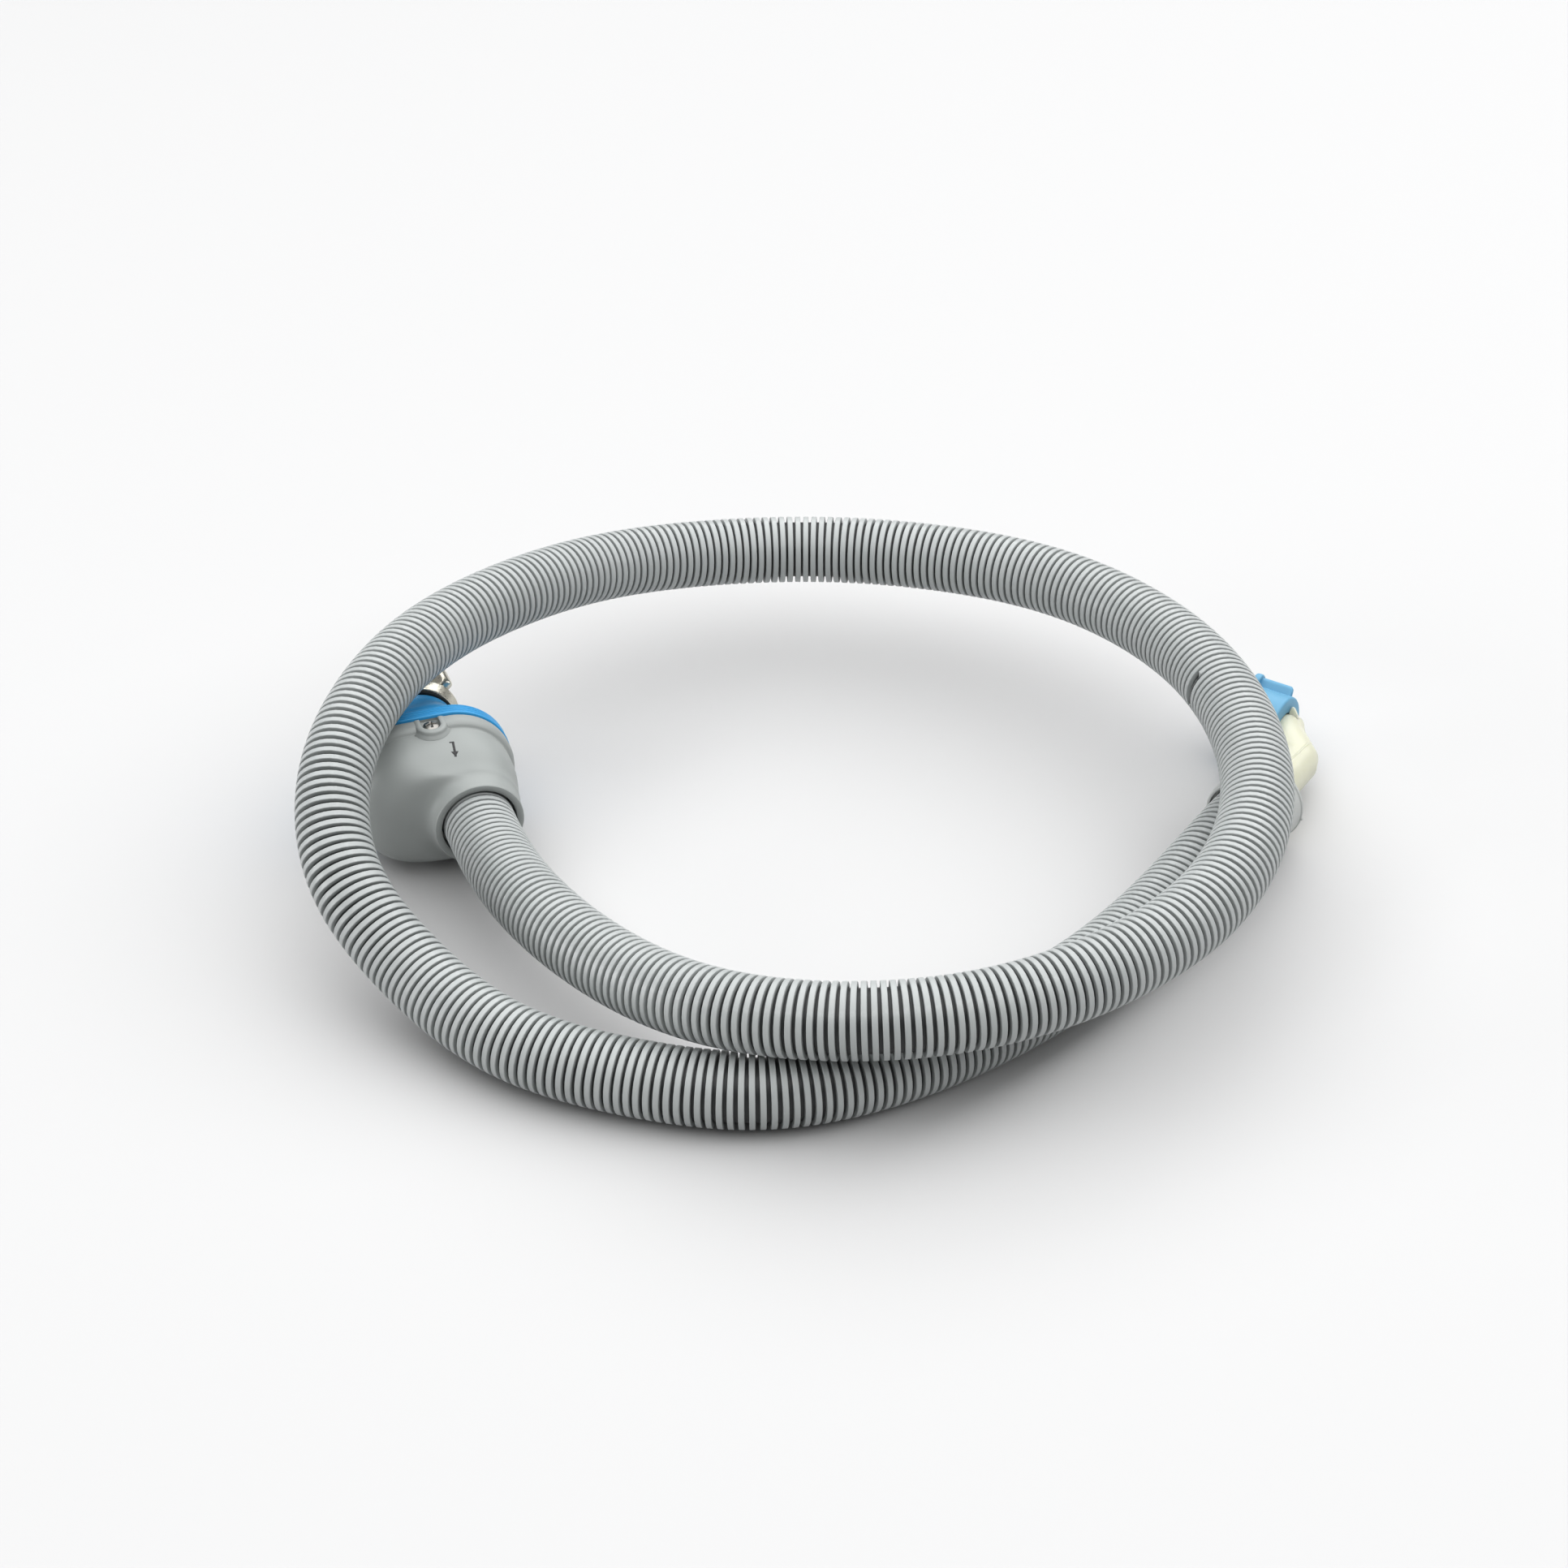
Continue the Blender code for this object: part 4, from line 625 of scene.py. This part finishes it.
# The cover: one moulding of sky blue ABS. Its flange meets the bead, a dome rises behind it to
# the round boss for the spigot, and small gussets stiffen the flange. A tongue enters the shell.
COVER_GAP = 0.0003
COVER_HALF_W, COVER_HALF_H = 0.0371, 0.0300
BOSS_Y, BOSS_R = 0.0370, 0.0176
INLET_X, INLET_Z = 0.0040, 0.0305
SPIGOT_R = 0.0098
COVER_WALL = 0.0022
COVER_BLUE = (0.034, 0.280, 0.550)
COVER_BLUE_PALE = (0.047, 0.325, 0.610)
FLANGE_PROFILE = (
    (0.00030, 0.00060), (0.00042, 0.00022), (0.00070, 0.00004), (0.00100, 0.0),
    (0.00165, 0.0), (0.00190, 0.00035), (0.00215, 0.0), (0.00325, 0.0), (0.00350, 0.00035),
    (0.00375, 0.0), (0.00485, 0.0), (0.00510, 0.00035), (0.00535, 0.0), (0.00610, 0.00002),
    (0.00660, 0.00018), (0.00690, 0.00055), (0.00700, 0.00110),
)
DOME = ((0.00, 0.0045, 0.0036), (0.20, 0.0062, 0.0039), (0.40, 0.0092, 0.0046),
        (0.60, 0.0134, 0.0076), (0.78, 0.0170, 0.0105), (0.91, 0.0190, 0.0120))
DOME_SUNK = 0.0022
GUSSETS, GUSSET_HALF = (52, 88, 97, 118, 140), 0.0006
TONGUE_W, TONGUE_H, TONGUE_WALL, TONGUE_DEPTH = 0.0327, 0.0256, 0.0016, 0.0082


def dome_stations(inset):
    """The dome's stations: they shrink and slide from the flange's middle to the boss's."""
    rows = []
    for share, less_w, less_h in DOME:
        slide = share**1.5
        sunk = DOME_SUNK * (1 - share)
        rows.append((0.0070 + share * (BOSS_Y - 0.0070), INLET_X * slide,
                     HOUSING_Z - sunk + (INLET_Z - HOUSING_Z) * slide,
                     COVER_HALF_W - less_w - inset, COVER_HALF_H - less_h - sunk - inset,
                     SIDE_FLAT * (1 - share)))
    return rows


def boss_rows(profile):
    return [(y, INLET_X, INLET_Z, r, r, 0.0) for y, r in profile]


flange_rows = [(y, 0.0, HOUSING_Z, COVER_HALF_W - less, COVER_HALF_H - less, SIDE_FLAT)
               for y, less in FLANGE_PROFILE]
foot_rows = [(0.00700, 0.0, HOUSING_Z, COVER_HALF_W - 0.0034, COVER_HALF_H - 0.0028, SIDE_FLAT),
             (0.00715, 0.0, HOUSING_Z, COVER_HALF_W - 0.0039, COVER_HALF_H - 0.0032, SIDE_FLAT)]
dome = spline([*dome_stations(0.0), (BOSS_Y - 0.0012, INLET_X, INLET_Z, BOSS_R, BOSS_R, 0.0)], 36)
cover_rows = [
    *flange_rows, *foot_rows, *dome[1:],
    *boss_rows(((BOSS_Y - 0.0006, BOSS_R), (BOSS_Y - 0.0002, BOSS_R - 0.0002),
                (BOSS_Y, BOSS_R - 0.0008), (BOSS_Y, SPIGOT_R + 0.0003),
                (BOSS_Y - COVER_WALL, SPIGOT_R + 0.0003),
                (BOSS_Y - COVER_WALL, BOSS_R - COVER_WALL))),
    *reversed(dome_stations(COVER_WALL)),
    (COVER_GAP, 0.0, HOUSING_Z, TONGUE_W - TONGUE_WALL, TONGUE_H - TONGUE_WALL, SIDE_FLAT),
    (-TONGUE_DEPTH, 0.0, HOUSING_Z, TONGUE_W - TONGUE_WALL, TONGUE_H - TONGUE_WALL, SIDE_FLAT),
    (-TONGUE_DEPTH, 0.0, HOUSING_Z, TONGUE_W, TONGUE_H, SIDE_FLAT),
    (COVER_GAP, 0.0, HOUSING_Z, TONGUE_W, TONGUE_H, SIDE_FLAT),
]


def wedge(degrees):
    """A gusset: a thin triangle in a plane through the flange's axis, high at the flange."""
    angle = math.radians(degrees)
    out = np.array((math.cos(angle), 0, math.sin(angle)))
    across = np.array((-math.sin(angle), 0, math.cos(angle)))
    reach = COVER_HALF_H + (COVER_HALF_W - COVER_HALF_H) * abs(math.cos(angle)) * 0.9
    side = np.array(((0.0066, reach - 0.0014), (0.0075, reach - 0.0016), (0.0108, reach - 0.0046),
                     (0.0108, reach - 0.0070), (0.0066, reach - 0.0070)))
    middle = side.mean(axis=0)
    rows = [(middle, -1), (side, -1), (side, 1), (middle, 1)]
    rings = [
        np.broadcast_to(
            (0, 0, HOUSING_Z) + shape[..., 1:] * out + shape[..., :1] * np.array((0, 1, 0))
            + across * GUSSET_HALF * end, (5, 3))
        for shape, end in rows
    ]
    return np.array(rings)


cover_finish = Finish("moulded_blue_cover", Specular_IOR_Level=0.5)
cover_finish.skin((COVER_BLUE, COVER_BLUE_PALE), (70.0, 4.0), (220.0, 0.12, 0.3),
                  (2600.0, 1.0, 0.00002, 0.3))
put("cover", [valve_end(rounded_rings(cover_rows)), *(valve_end(wedge(a)) for a in GUSSETS)],
    cover_finish, "hose", ["housing_cover"])

# The cover's screw: a zinc-plated pan head with a cross recess, driven down into its pocket.
SCREW_HEAD_R, SCREW_HEAD_H, SCREW_SHANK_R, SCREW_LENGTH = 0.0033, 0.0020, 0.00145, 0.0085
SCREW_UNDER, SCREW_RIM_H = 0.0581, 0.0011
RECESS_ARM, RECESS_HALF, RECESS_DEPTH = 0.0021, 0.00042, 0.0010


def polar(radii, heights, sides=96):
    """Rings of a turned shape about Z, from arrays of radii and heights that may vary by angle."""
    angle = np.arange(sides) * 2 * math.pi / sides
    radii = np.broadcast_to(np.asarray(radii, float).reshape(len(radii), -1), (len(radii), sides))
    heights = np.broadcast_to(np.asarray(heights, float).reshape(len(radii), -1), radii.shape)
    return np.stack([radii * np.cos(angle), radii * np.sin(angle), heights], axis=-1)


def screw_rings():
    """A dome h(1 - (r/R)^2.6) less a cross: two slots with soft flanks, deeper at the middle."""
    radius = np.linspace(0, 1, 34)
    dome = polar(radius * SCREW_HEAD_R,
                 SCREW_RIM_H + (SCREW_HEAD_H - SCREW_RIM_H) * (1 - radius**2.6))
    x, y = np.abs(dome[..., 0]), np.abs(dome[..., 1])
    narrow, long = np.minimum(x, y), np.maximum(x, y)
    slot = np.clip((RECESS_HALF - narrow) / 0.00018 + 0.5, 0, 1)
    slot *= np.clip((RECESS_ARM - long) / 0.0003 + 0.5, 0, 1)
    dome[..., 2] -= slot * RECESS_DEPTH * (1 - 0.35 * long / RECESS_ARM)
    rest = polar(
        np.array((SCREW_HEAD_R, SCREW_HEAD_R * 0.97, SCREW_SHANK_R, SCREW_SHANK_R, 0.0)),
        np.array((0.0004, 0.0, 0.0, SCREW_SHANK_R - SCREW_LENGTH, -SCREW_LENGTH)),
    )
    return np.concatenate([dome, rest]) + (*SCREW_AT, SCREW_UNDER)


steel_finish = Finish("plated_steel", Metallic=1.0, Base_Color=(0.34, 0.33, 0.31))
spot = steel_finish.place()
steel_finish.set("Roughness", steel_finish.noise(spot, 1400.0) * 0.25 + 0.22)
steel_finish.bump(steel_finish.noise(spot, 2500.0, 2.0), 0.00003, 0.4)
put("pan_head_screw", [valve_end(screw_rings())], steel_finish, "hose", ["cover_screw"],
    crease=50)

# The inlet: a dark rubber ring seals the boss, and the die-cast zinc coupling nut turns behind it.
# The nut has a broad cone, a barrel, two ears to grip and a 3/4 inch thread inside.
RING_Y, RING_THICK, RING_R = 0.0373, 0.0020, 0.0185
NUT_Y, NUT_LENGTH = 0.0396, 0.0184
NUT_BORE_R, NUT_BARREL_R, NUT_CONE_R = 0.0126, 0.0172, 0.0215
THREAD_PITCH, THREAD_DEPTH = 0.001814, 0.0009
EAR_ANGLE, EAR_TIP_R, EAR_HALF, EAR_SWELL = math.radians(42.0), 0.0245, 0.0026, 0.0012
ZINC = (0.62, 0.60, 0.52)
ZINC_PALE = (0.80, 0.78, 0.70)
RUBBER_BLACK, RUBBER_WORN = (0.012, 0.018, 0.020), (0.022, 0.030, 0.032)


def facing_y(rings, x=INLET_X, z=INLET_Z):
    """Turns a shape about Z so that its height runs along Y, about the inlet's axis."""
    return np.stack([x + rings[..., 0], rings[..., 2], z + rings[..., 1]], axis=-1)


def turned(corners, soft, sides=128):
    """A turned ring from its outline of (radius, height), with every corner rounded."""
    return polar(*softened(corners, soft, closed=True).T, sides)


def threaded(radius, low, high, sides=128):
    """The rows of an inside thread: the radius less a triangle wave of height over pitch less
    angle over a turn, that fades out over half a pitch at both ends."""
    height = np.linspace(low, high, 64)[:, None]
    angle = np.arange(sides)[None] / sides
    wave = 1 - np.abs(2 * ((height / THREAD_PITCH - angle) % 1.0) - 1) * 1.25
    fade = np.clip(np.minimum(height - low, high - height) / (THREAD_PITCH / 2), 0, 1)
    return polar(radius + THREAD_DEPTH * (0.5 - np.clip(wave, 0, 1) * fade), height, sides)


def capped(rings):
    """The rings with both ends closed on the middle of their last ring."""
    ends = [np.broadcast_to(ring.mean(axis=0), ring.shape)[None] for ring in rings[[0, -1]]]
    return np.concatenate([ends[0], rings, ends[1]])


def ear(angle, low, high, foot=NUT_BORE_R + 0.002):
    """A grip on the nut: a rib with a round outer edge, its ends domed like a thumb."""
    t = np.linspace(0, 1, 25)
    end = np.sqrt(np.clip(1 - (2 * t - 1) ** 8, 0.09, 1))[:, None]
    turn = np.linspace(0, 2 * math.pi, 40, endpoint=False)[None]
    out = np.cos(turn)
    middle, half = (foot + EAR_TIP_R) / 2, (EAR_TIP_R - foot) / 2
    radial = middle + half * np.sign(out) * np.abs(out) ** 0.6 * (0.85 + 0.15 * end)
    wide = EAR_HALF + EAR_SWELL * np.clip(out, 0, 1)
    across = wide * np.sin(turn) * end
    height = np.repeat((low + (high - low) * t)[:, None], turn.shape[1], axis=1)
    x = radial * math.cos(angle) - across * math.sin(angle)
    y = radial * math.sin(angle) + across * math.cos(angle)
    return capped(np.stack([x, y, height], axis=-1))


nut_end = NUT_Y + NUT_LENGTH
nut_outline = softened((
    (NUT_BORE_R + 0.0009, nut_end), (NUT_BARREL_R, nut_end), (NUT_BARREL_R, NUT_Y + 0.0068),
    (NUT_CONE_R - 0.0008, NUT_Y + 0.0056), (NUT_CONE_R, NUT_Y + 0.0036),
    (RING_R + 0.0001, NUT_Y), (SPIGOT_R + 0.0003, NUT_Y),
    (SPIGOT_R + 0.0003, NUT_Y + 0.0025), (NUT_BORE_R + 0.0005, NUT_Y + 0.0025),
), 0.0006)
nut_rings = np.concatenate([polar(*nut_outline.T, 128),
                            threaded(NUT_BORE_R, NUT_Y + 0.0028, nut_end - 0.0008)])

rubber_finish = Finish("dark_rubber", Specular_IOR_Level=0.35)
rubber_finish.skin((RUBBER_BLACK, RUBBER_WORN), (300.0, 3.0), (500.0, 0.2, 0.45))
put("seal_ring", [valve_end(facing_y(turned((
    (SPIGOT_R + 0.0003, RING_Y), (RING_R, RING_Y), (RING_R, RING_Y + RING_THICK),
    (SPIGOT_R + 0.0003, RING_Y + RING_THICK)), 0.0006)))],
    rubber_finish, "hose", ["boss_ring"])

zinc_finish = Finish("die_cast_zinc", Metallic=1.0)
spot = zinc_finish.place()
mottle = zinc_finish.noise(spot, 260.0, 5.0, 0.6)
zinc_finish.set("Base Color", zinc_finish.blend(mottle, ZINC, ZINC_PALE))
zinc_finish.set("Roughness", zinc_finish.noise(spot, 500.0, 4.0) * 0.3 + 0.14)
zinc_finish.bump(mottle + zinc_finish.noise(spot, 1500.0, 3.0) * 0.35, 0.00022, 0.6)
nut_ears = [ear(EAR_ANGLE + half_turn, NUT_Y + 0.0038, nut_end - 0.0012)
            for half_turn in (0, math.pi)]
put("zinc_coupling_nut", [valve_end(facing_y(rings)) for rings in (nut_rings, *nut_ears)],
    zinc_finish, "inlet_coupling", ["inlet_nut"])

# The collar: a cup of the same grey, whose lip grips the jacket's end and whose rim holds the
# elbow's disc. A fine line runs round the rim, and the gate left a nub on its lower right.
COLLAR_LENGTH, COLLAR_LIP_R, COLLAR_RIM_R = 0.0200, 0.0173, 0.0187
COLLAR_GREY, COLLAR_GREY_PALE = (0.47, 0.485, 0.475), (0.52, 0.535, 0.525)
NUB_DOWN, NUB_BACK = 0.0034, 0.0010


def collar_axis(rings):
    return elbow_end(facing_y(rings, 0.0, COLLAR_Z))


collar_outline = softened((
    (COLLAR_RIM_R - 0.0014, COLLAR_LENGTH), (COLLAR_RIM_R - 0.0003, COLLAR_LENGTH),
    (COLLAR_RIM_R, COLLAR_LENGTH - 0.0006), (COLLAR_RIM_R, COLLAR_LENGTH - 0.0014),
    (COLLAR_RIM_R - 0.0006, COLLAR_LENGTH - 0.0018), (COLLAR_RIM_R - 0.0005, COLLAR_LENGTH - 0.0024),
    (COLLAR_LIP_R + 0.0003, 0.0016), (COLLAR_LIP_R - 0.0002, 0.0002),
    (COLLAR_LIP_R - 0.0006, 0.0), (HOSE_R + 0.0010, 0.0), (HOSE_R + 0.0010, 0.0018),
    (0.0162, 0.0018), (COLLAR_RIM_R - 0.0014, COLLAR_LENGTH - 0.0040),
), 0.0003, closed=True)
nub_outline = ((0.0, 0.0190), (0.0006, 0.0190), (0.0005, 0.0174), (0.0, 0.0174))
nub = polar(*softened(nub_outline, 0.0002).T, 24)
nub = np.stack([nub[..., 2], nub[..., 1] - NUB_DOWN, nub[..., 0] + COLLAR_LENGTH - NUB_BACK],
               axis=-1)
collar_finish = Finish("moulded_grey_collar", Specular_IOR_Level=0.45)
collar_finish.skin((COLLAR_GREY, COLLAR_GREY_PALE), (60.0, 4.0), (240.0, 0.14, 0.4),
                   (3200.0, 1.0, 0.00002, 0.35))
put("collar", [collar_axis(polar(*collar_outline.T, 128)), collar_axis(nub)], collar_finish,
    "hose", ["end_collar"])

# The elbow: pale unfilled nylon, one moulding with a disc for the collar, a bend and a tail that
# carries the nut on a snap ring. It lets light through, and a witness line crosses the bend.
ELBOW_TUBE_R, ELBOW_BORE_R = 0.0092, 0.0062
TAIL_Y, TAIL_Z, TAIL_R, TAIL_END = 0.0725, 0.0170, 0.0088, 0.0208
ELBOW_CORNERS = ((-0.0010, 0.0556), (-0.0138, 0.0692))
NUT_MOUTH_X = -0.0157
DISC_Y, DISC_THICK, DISC_R = 0.0190, 0.0020, 0.0170
NYLON = (0.57, 0.57, 0.455)
NYLON_PALE = (0.63, 0.63, 0.52)
FIN_ANGLE, FIN_HALF = math.radians(62.0), 0.0009
WITNESS_X, WITNESS_HALF, WITNESS_SOFT = 0.0015, 0.00035, 0.00020
ENUT_FACE, ENUT_LENGTH, ENUT_R, ENUT_FLANGE_R = 0.0160, 0.0210, 0.0165, 0.0171
ENUT_BLUE = (0.125, 0.325, 0.490)
ENUT_BLUE_PALE = (0.165, 0.385, 0.545)
ENUT_BAR_ANGLE, ENUT_BAR_TIP, ENUT_BAR_HALF = math.radians(45.0), 0.0210, 0.0014
ENUT_LOBE_R, ENUT_LOBE_TIP, ENUT_LOBE_H = 0.0044, 0.0222, 0.0032


def elbow_tube():
    """The tube: a leg, a slanting middle and the tail, mitred at two corners, and the bore back.

    A ring at a corner lies in the plane that halves the turn, so it is wider by 1 over the cosine
    of half the turn. The heel beside the tail is flat, just off the nut's face.
    """
    first, second = (np.array((*corner, TAIL_Z)) for corner in ELBOW_CORNERS)
    leg = np.array([(0, DISC_Y - 0.0005, COLLAR_Z), (0, DISC_Y + 0.0010, COLLAR_Z),
                    (0, DISC_Y + 0.0030, COLLAR_Z), (-0.0002, 0.0400, 0.0178),
                    first - (0, 0.0060, 0), first - (0, 0.0018, 0)])
    run = -np.array((0.0156, 0.0159, 0.0163, TAIL_END - 0.0004, TAIL_END))
    tail = np.stack([run, np.full(5, TAIL_Y), np.full(5, TAIL_Z)], axis=1)
    middle = [first + (second - first) * share for share in (0.08, 0.34, 0.66, 1.0)]
    line = np.concatenate([leg, middle, tail])
    step = np.diff(line, axis=0)
    step /= np.linalg.norm(step, axis=1)[:, None]
    along = np.concatenate([step[:1], (step[:-1] + step[1:]) / 2, step[-1:]])
    half_turn = np.linalg.norm(along, axis=1)[:, None]
    side = np.cross(along / half_turn, (0, 0, 1))
    side /= np.linalg.norm(side, axis=1)[:, None]
    up = np.cross(side, along / half_turn)
    radius = np.full(len(line), ELBOW_TUBE_R)
    radius[:3] += (0.0016, 0.0008, 0.0)
    radius[-5:] = (0.0091, 0.0089, TAIL_R, TAIL_R, TAIL_R - 0.0004)
    rows = np.concatenate([np.arange(len(line)), np.arange(len(line))[::-1]])
    radius = np.concatenate([radius, np.full(len(line), ELBOW_BORE_R)])
    turn = np.arange(72) * 2 * math.pi / 72
    rings = line[rows][:, None] + radius[:, None, None] * (
        np.cos(turn)[:, None] * (side / half_turn)[rows][:, None]
        + np.sin(turn)[:, None] * up[rows][:, None])
    heel = rings[:len(line) - 5]
    heel[..., 0] = np.maximum(heel[..., 0], NUT_MOUTH_X)
    return rings


def facing_tail(rings):
    """Turns a shape about Z so that its height runs along -X, about the elbow's tail."""
    return elbow_end(np.stack(
        [-rings[..., 2], TAIL_Y + rings[..., 0], TAIL_Z + rings[..., 1]], axis=-1))


nylon_finish = Finish("pale_nylon", Roughness=0.34, Subsurface_Weight=0.35,
                      Subsurface_Radius=(1.0, 1.0, 0.7), Subsurface_Scale=0.006)
spot = nylon_finish.place()
nylon_finish.set("Base Color", nylon_finish.blend(nylon_finish.noise(spot, 80.0, 3.0),
                                                  NYLON, NYLON_PALE))
line_at, line_way = elbow_end([(WITNESS_X, 0.0, 0.0)])[0], elbow_end([(1.0, 0.0, 0.0)])[0] - ELBOW_AT
from_line = nylon_finish.node("VectorMath", {"operation": "SUBTRACT"}, {0: spot, 1: tuple(line_at)})
off_line = nylon_finish.node("VectorMath", {"operation": "DOT_PRODUCT"},
                             {0: from_line, 1: tuple(line_way)}, 1)
line_mark = abs(off_line).within(WITNESS_HALF, WITNESS_SOFT)
nylon_finish.bump(nylon_finish.noise(spot, 900.0, 2.0) * 0.1 + line_mark, 0.0004, 0.6)
disc = polar(*softened(((0.0034, DISC_Y), (DISC_R, DISC_Y), (DISC_R, DISC_Y - DISC_THICK),
                        (0.0034, DISC_Y - DISC_THICK)), 0.0004, closed=True).T, 96)
barb = polar(*softened(((0.0035, DISC_Y - 0.018), (0.0044, DISC_Y - 0.018),
                        (0.0044, DISC_Y - 0.0005), (0.0035, DISC_Y - 0.0005)), 0.0002,
                       closed=True).T, 32)
fin_edge = np.array(((0.0156, 0.0080), (0.0156, 0.0112), (0.0151, 0.0124), (0.0142, 0.0121),
                     (0.0118, 0.0094), (0.0112, 0.0080)))
fin = np.array([[(radial * math.cos(FIN_ANGLE) - across * math.sin(FIN_ANGLE),
                  radial * math.sin(FIN_ANGLE) + across * math.cos(FIN_ANGLE), back)
                 for back, radial in fin_edge] for across in (-FIN_HALF, FIN_HALF)])
put("nylon_elbow", [elbow_end(elbow_tube()), collar_axis(disc), collar_axis(barb),
                    facing_tail(capped(fin))], nylon_finish, "hose", ["elbow"])

# The elbow's nut: blue acetal, moulded, with a flange at its open end and two straight bars to
# grip that end in round lobes on the flange. The same 3/4 inch thread is inside.
enut_end = ENUT_FACE + ENUT_LENGTH
enut_outline = softened((
    (NUT_BORE_R + 0.0008, enut_end), (ENUT_FLANGE_R, enut_end),
    (ENUT_FLANGE_R, enut_end - ENUT_LOBE_H), (ENUT_R, enut_end - 0.0042), (ENUT_R, ENUT_FACE),
    (TAIL_R + 0.0003, ENUT_FACE), (TAIL_R + 0.0003, ENUT_FACE + 0.0025),
    (NUT_BORE_R + 0.0005, ENUT_FACE + 0.0025),
), 0.0011)
enut_rings = np.concatenate([polar(*enut_outline.T, 128),
                             threaded(NUT_BORE_R, ENUT_FACE + 0.0028, enut_end - 0.0008)])


def rounded_bar(angle, low, high, foot, tip, half):
    """A straight bar along the axis: a rounded rectangle whose two ends are domed."""
    t = np.linspace(-1, 1, 29)
    dome = np.sqrt(np.clip(1 - np.abs(t) ** 14, 0, 1))
    middle, reach = (foot + tip) / 2, (tip - foot) / 2
    rows = [(low + (high - low) * (s + 1) / 2, middle, 0.0,
             reach * (0.7 + 0.3 * d) * min(1, d + 1e-6), half * max(d, 1e-6), 0.0)
            for s, d in zip(t, dome)]
    rings = rounded_rings(rows, 32)
    x, across = rings[..., 0], rings[..., 2]
    return capped(np.stack([x * math.cos(angle) - across * math.sin(angle),
                            x * math.sin(angle) + across * math.cos(angle), rings[..., 1]], axis=-1))


def lobe(angle, low, high, radius, tip):
    """A round lobe beside the flange: a short cylinder with soft edges."""
    outline = softened(((0, high), (radius, high), (radius, low), (0, low)), 0.0009)
    at = (tip - radius) * np.array((math.cos(angle), math.sin(angle), 0))
    return polar(*outline.T, 48) + at


enut_finish = Finish("moulded_blue_nut", Specular_IOR_Level=0.5)
enut_finish.skin((ENUT_BLUE, ENUT_BLUE_PALE), (90.0, 4.0), (260.0, 0.14, 0.34),
                 (2600.0, 1.0, 0.00002, 0.3))
grips = []
for angle in (ENUT_BAR_ANGLE, ENUT_BAR_ANGLE + math.pi):
    grips.append(rounded_bar(angle, ENUT_FACE + 0.0026, enut_end - 0.0006, ENUT_R - 0.003,
                             ENUT_BAR_TIP, ENUT_BAR_HALF))
    grips.append(lobe(angle, enut_end - ENUT_LOBE_H, enut_end, ENUT_LOBE_R, ENUT_LOBE_TIP))
put("blue_elbow_nut", [facing_tail(rings) for rings in (enut_rings, *grips)], enut_finish,
    "elbow_coupling", ["elbow_nut"])

# The hidden works keep their CAD shapes: moulded valve parts, brass plunger, rubber seals,
# steel spring, strainer, ferrules and snap ring, and the pellet that swells when water leaks.
HIDDEN = {
    "moulded_valve_parts": ((0.72, 0.72, 0.69), (0.80, 0.80, 0.77), 0.42, 0.0, (
        "inlet_spigot", "valve_body", "bonnet", "capsule_cage", "valve_end_clip",
        "elbow_end_clip")),
    "turned_brass": ((0.60, 0.42, 0.16), (0.78, 0.60, 0.28), 0.24, 1.0, ("plunger",)),
    "black_seal_rubber": (RUBBER_BLACK, (0.03, 0.035, 0.035), 0.5, 0.0, (
        "spigot_o_ring", "inlet_washer", "stem_seal", "plunger_seal", "elbow_washer")),
    "bright_steel": ((0.40, 0.40, 0.41), (0.58, 0.58, 0.59), 0.26, 1.0, (
        "inlet_strainer", "plunger_spring", "valve_end_ferrule", "elbow_end_ferrule",
        "elbow_snap_ring")),
    "hose_rubber": ((0.05, 0.05, 0.055), (0.09, 0.09, 0.095), 0.6, 0.0, ("inner_hose",)),
    "pressed_cellulose": ((0.72, 0.66, 0.52), (0.85, 0.80, 0.68), 0.85, 0.0, (
        "swelling_capsule",)),
}
for name, (dark, pale, rough, metal, nodes) in HIDDEN.items():
    finish = Finish(name, Metallic=metal)
    finish.skin((dark, pale), (400.0, 4.0), (700.0, 0.2, rough - 0.1))
    for node in nodes:
        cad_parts[node].data.materials.clear()
        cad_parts[node].data.materials.append(finish.material)
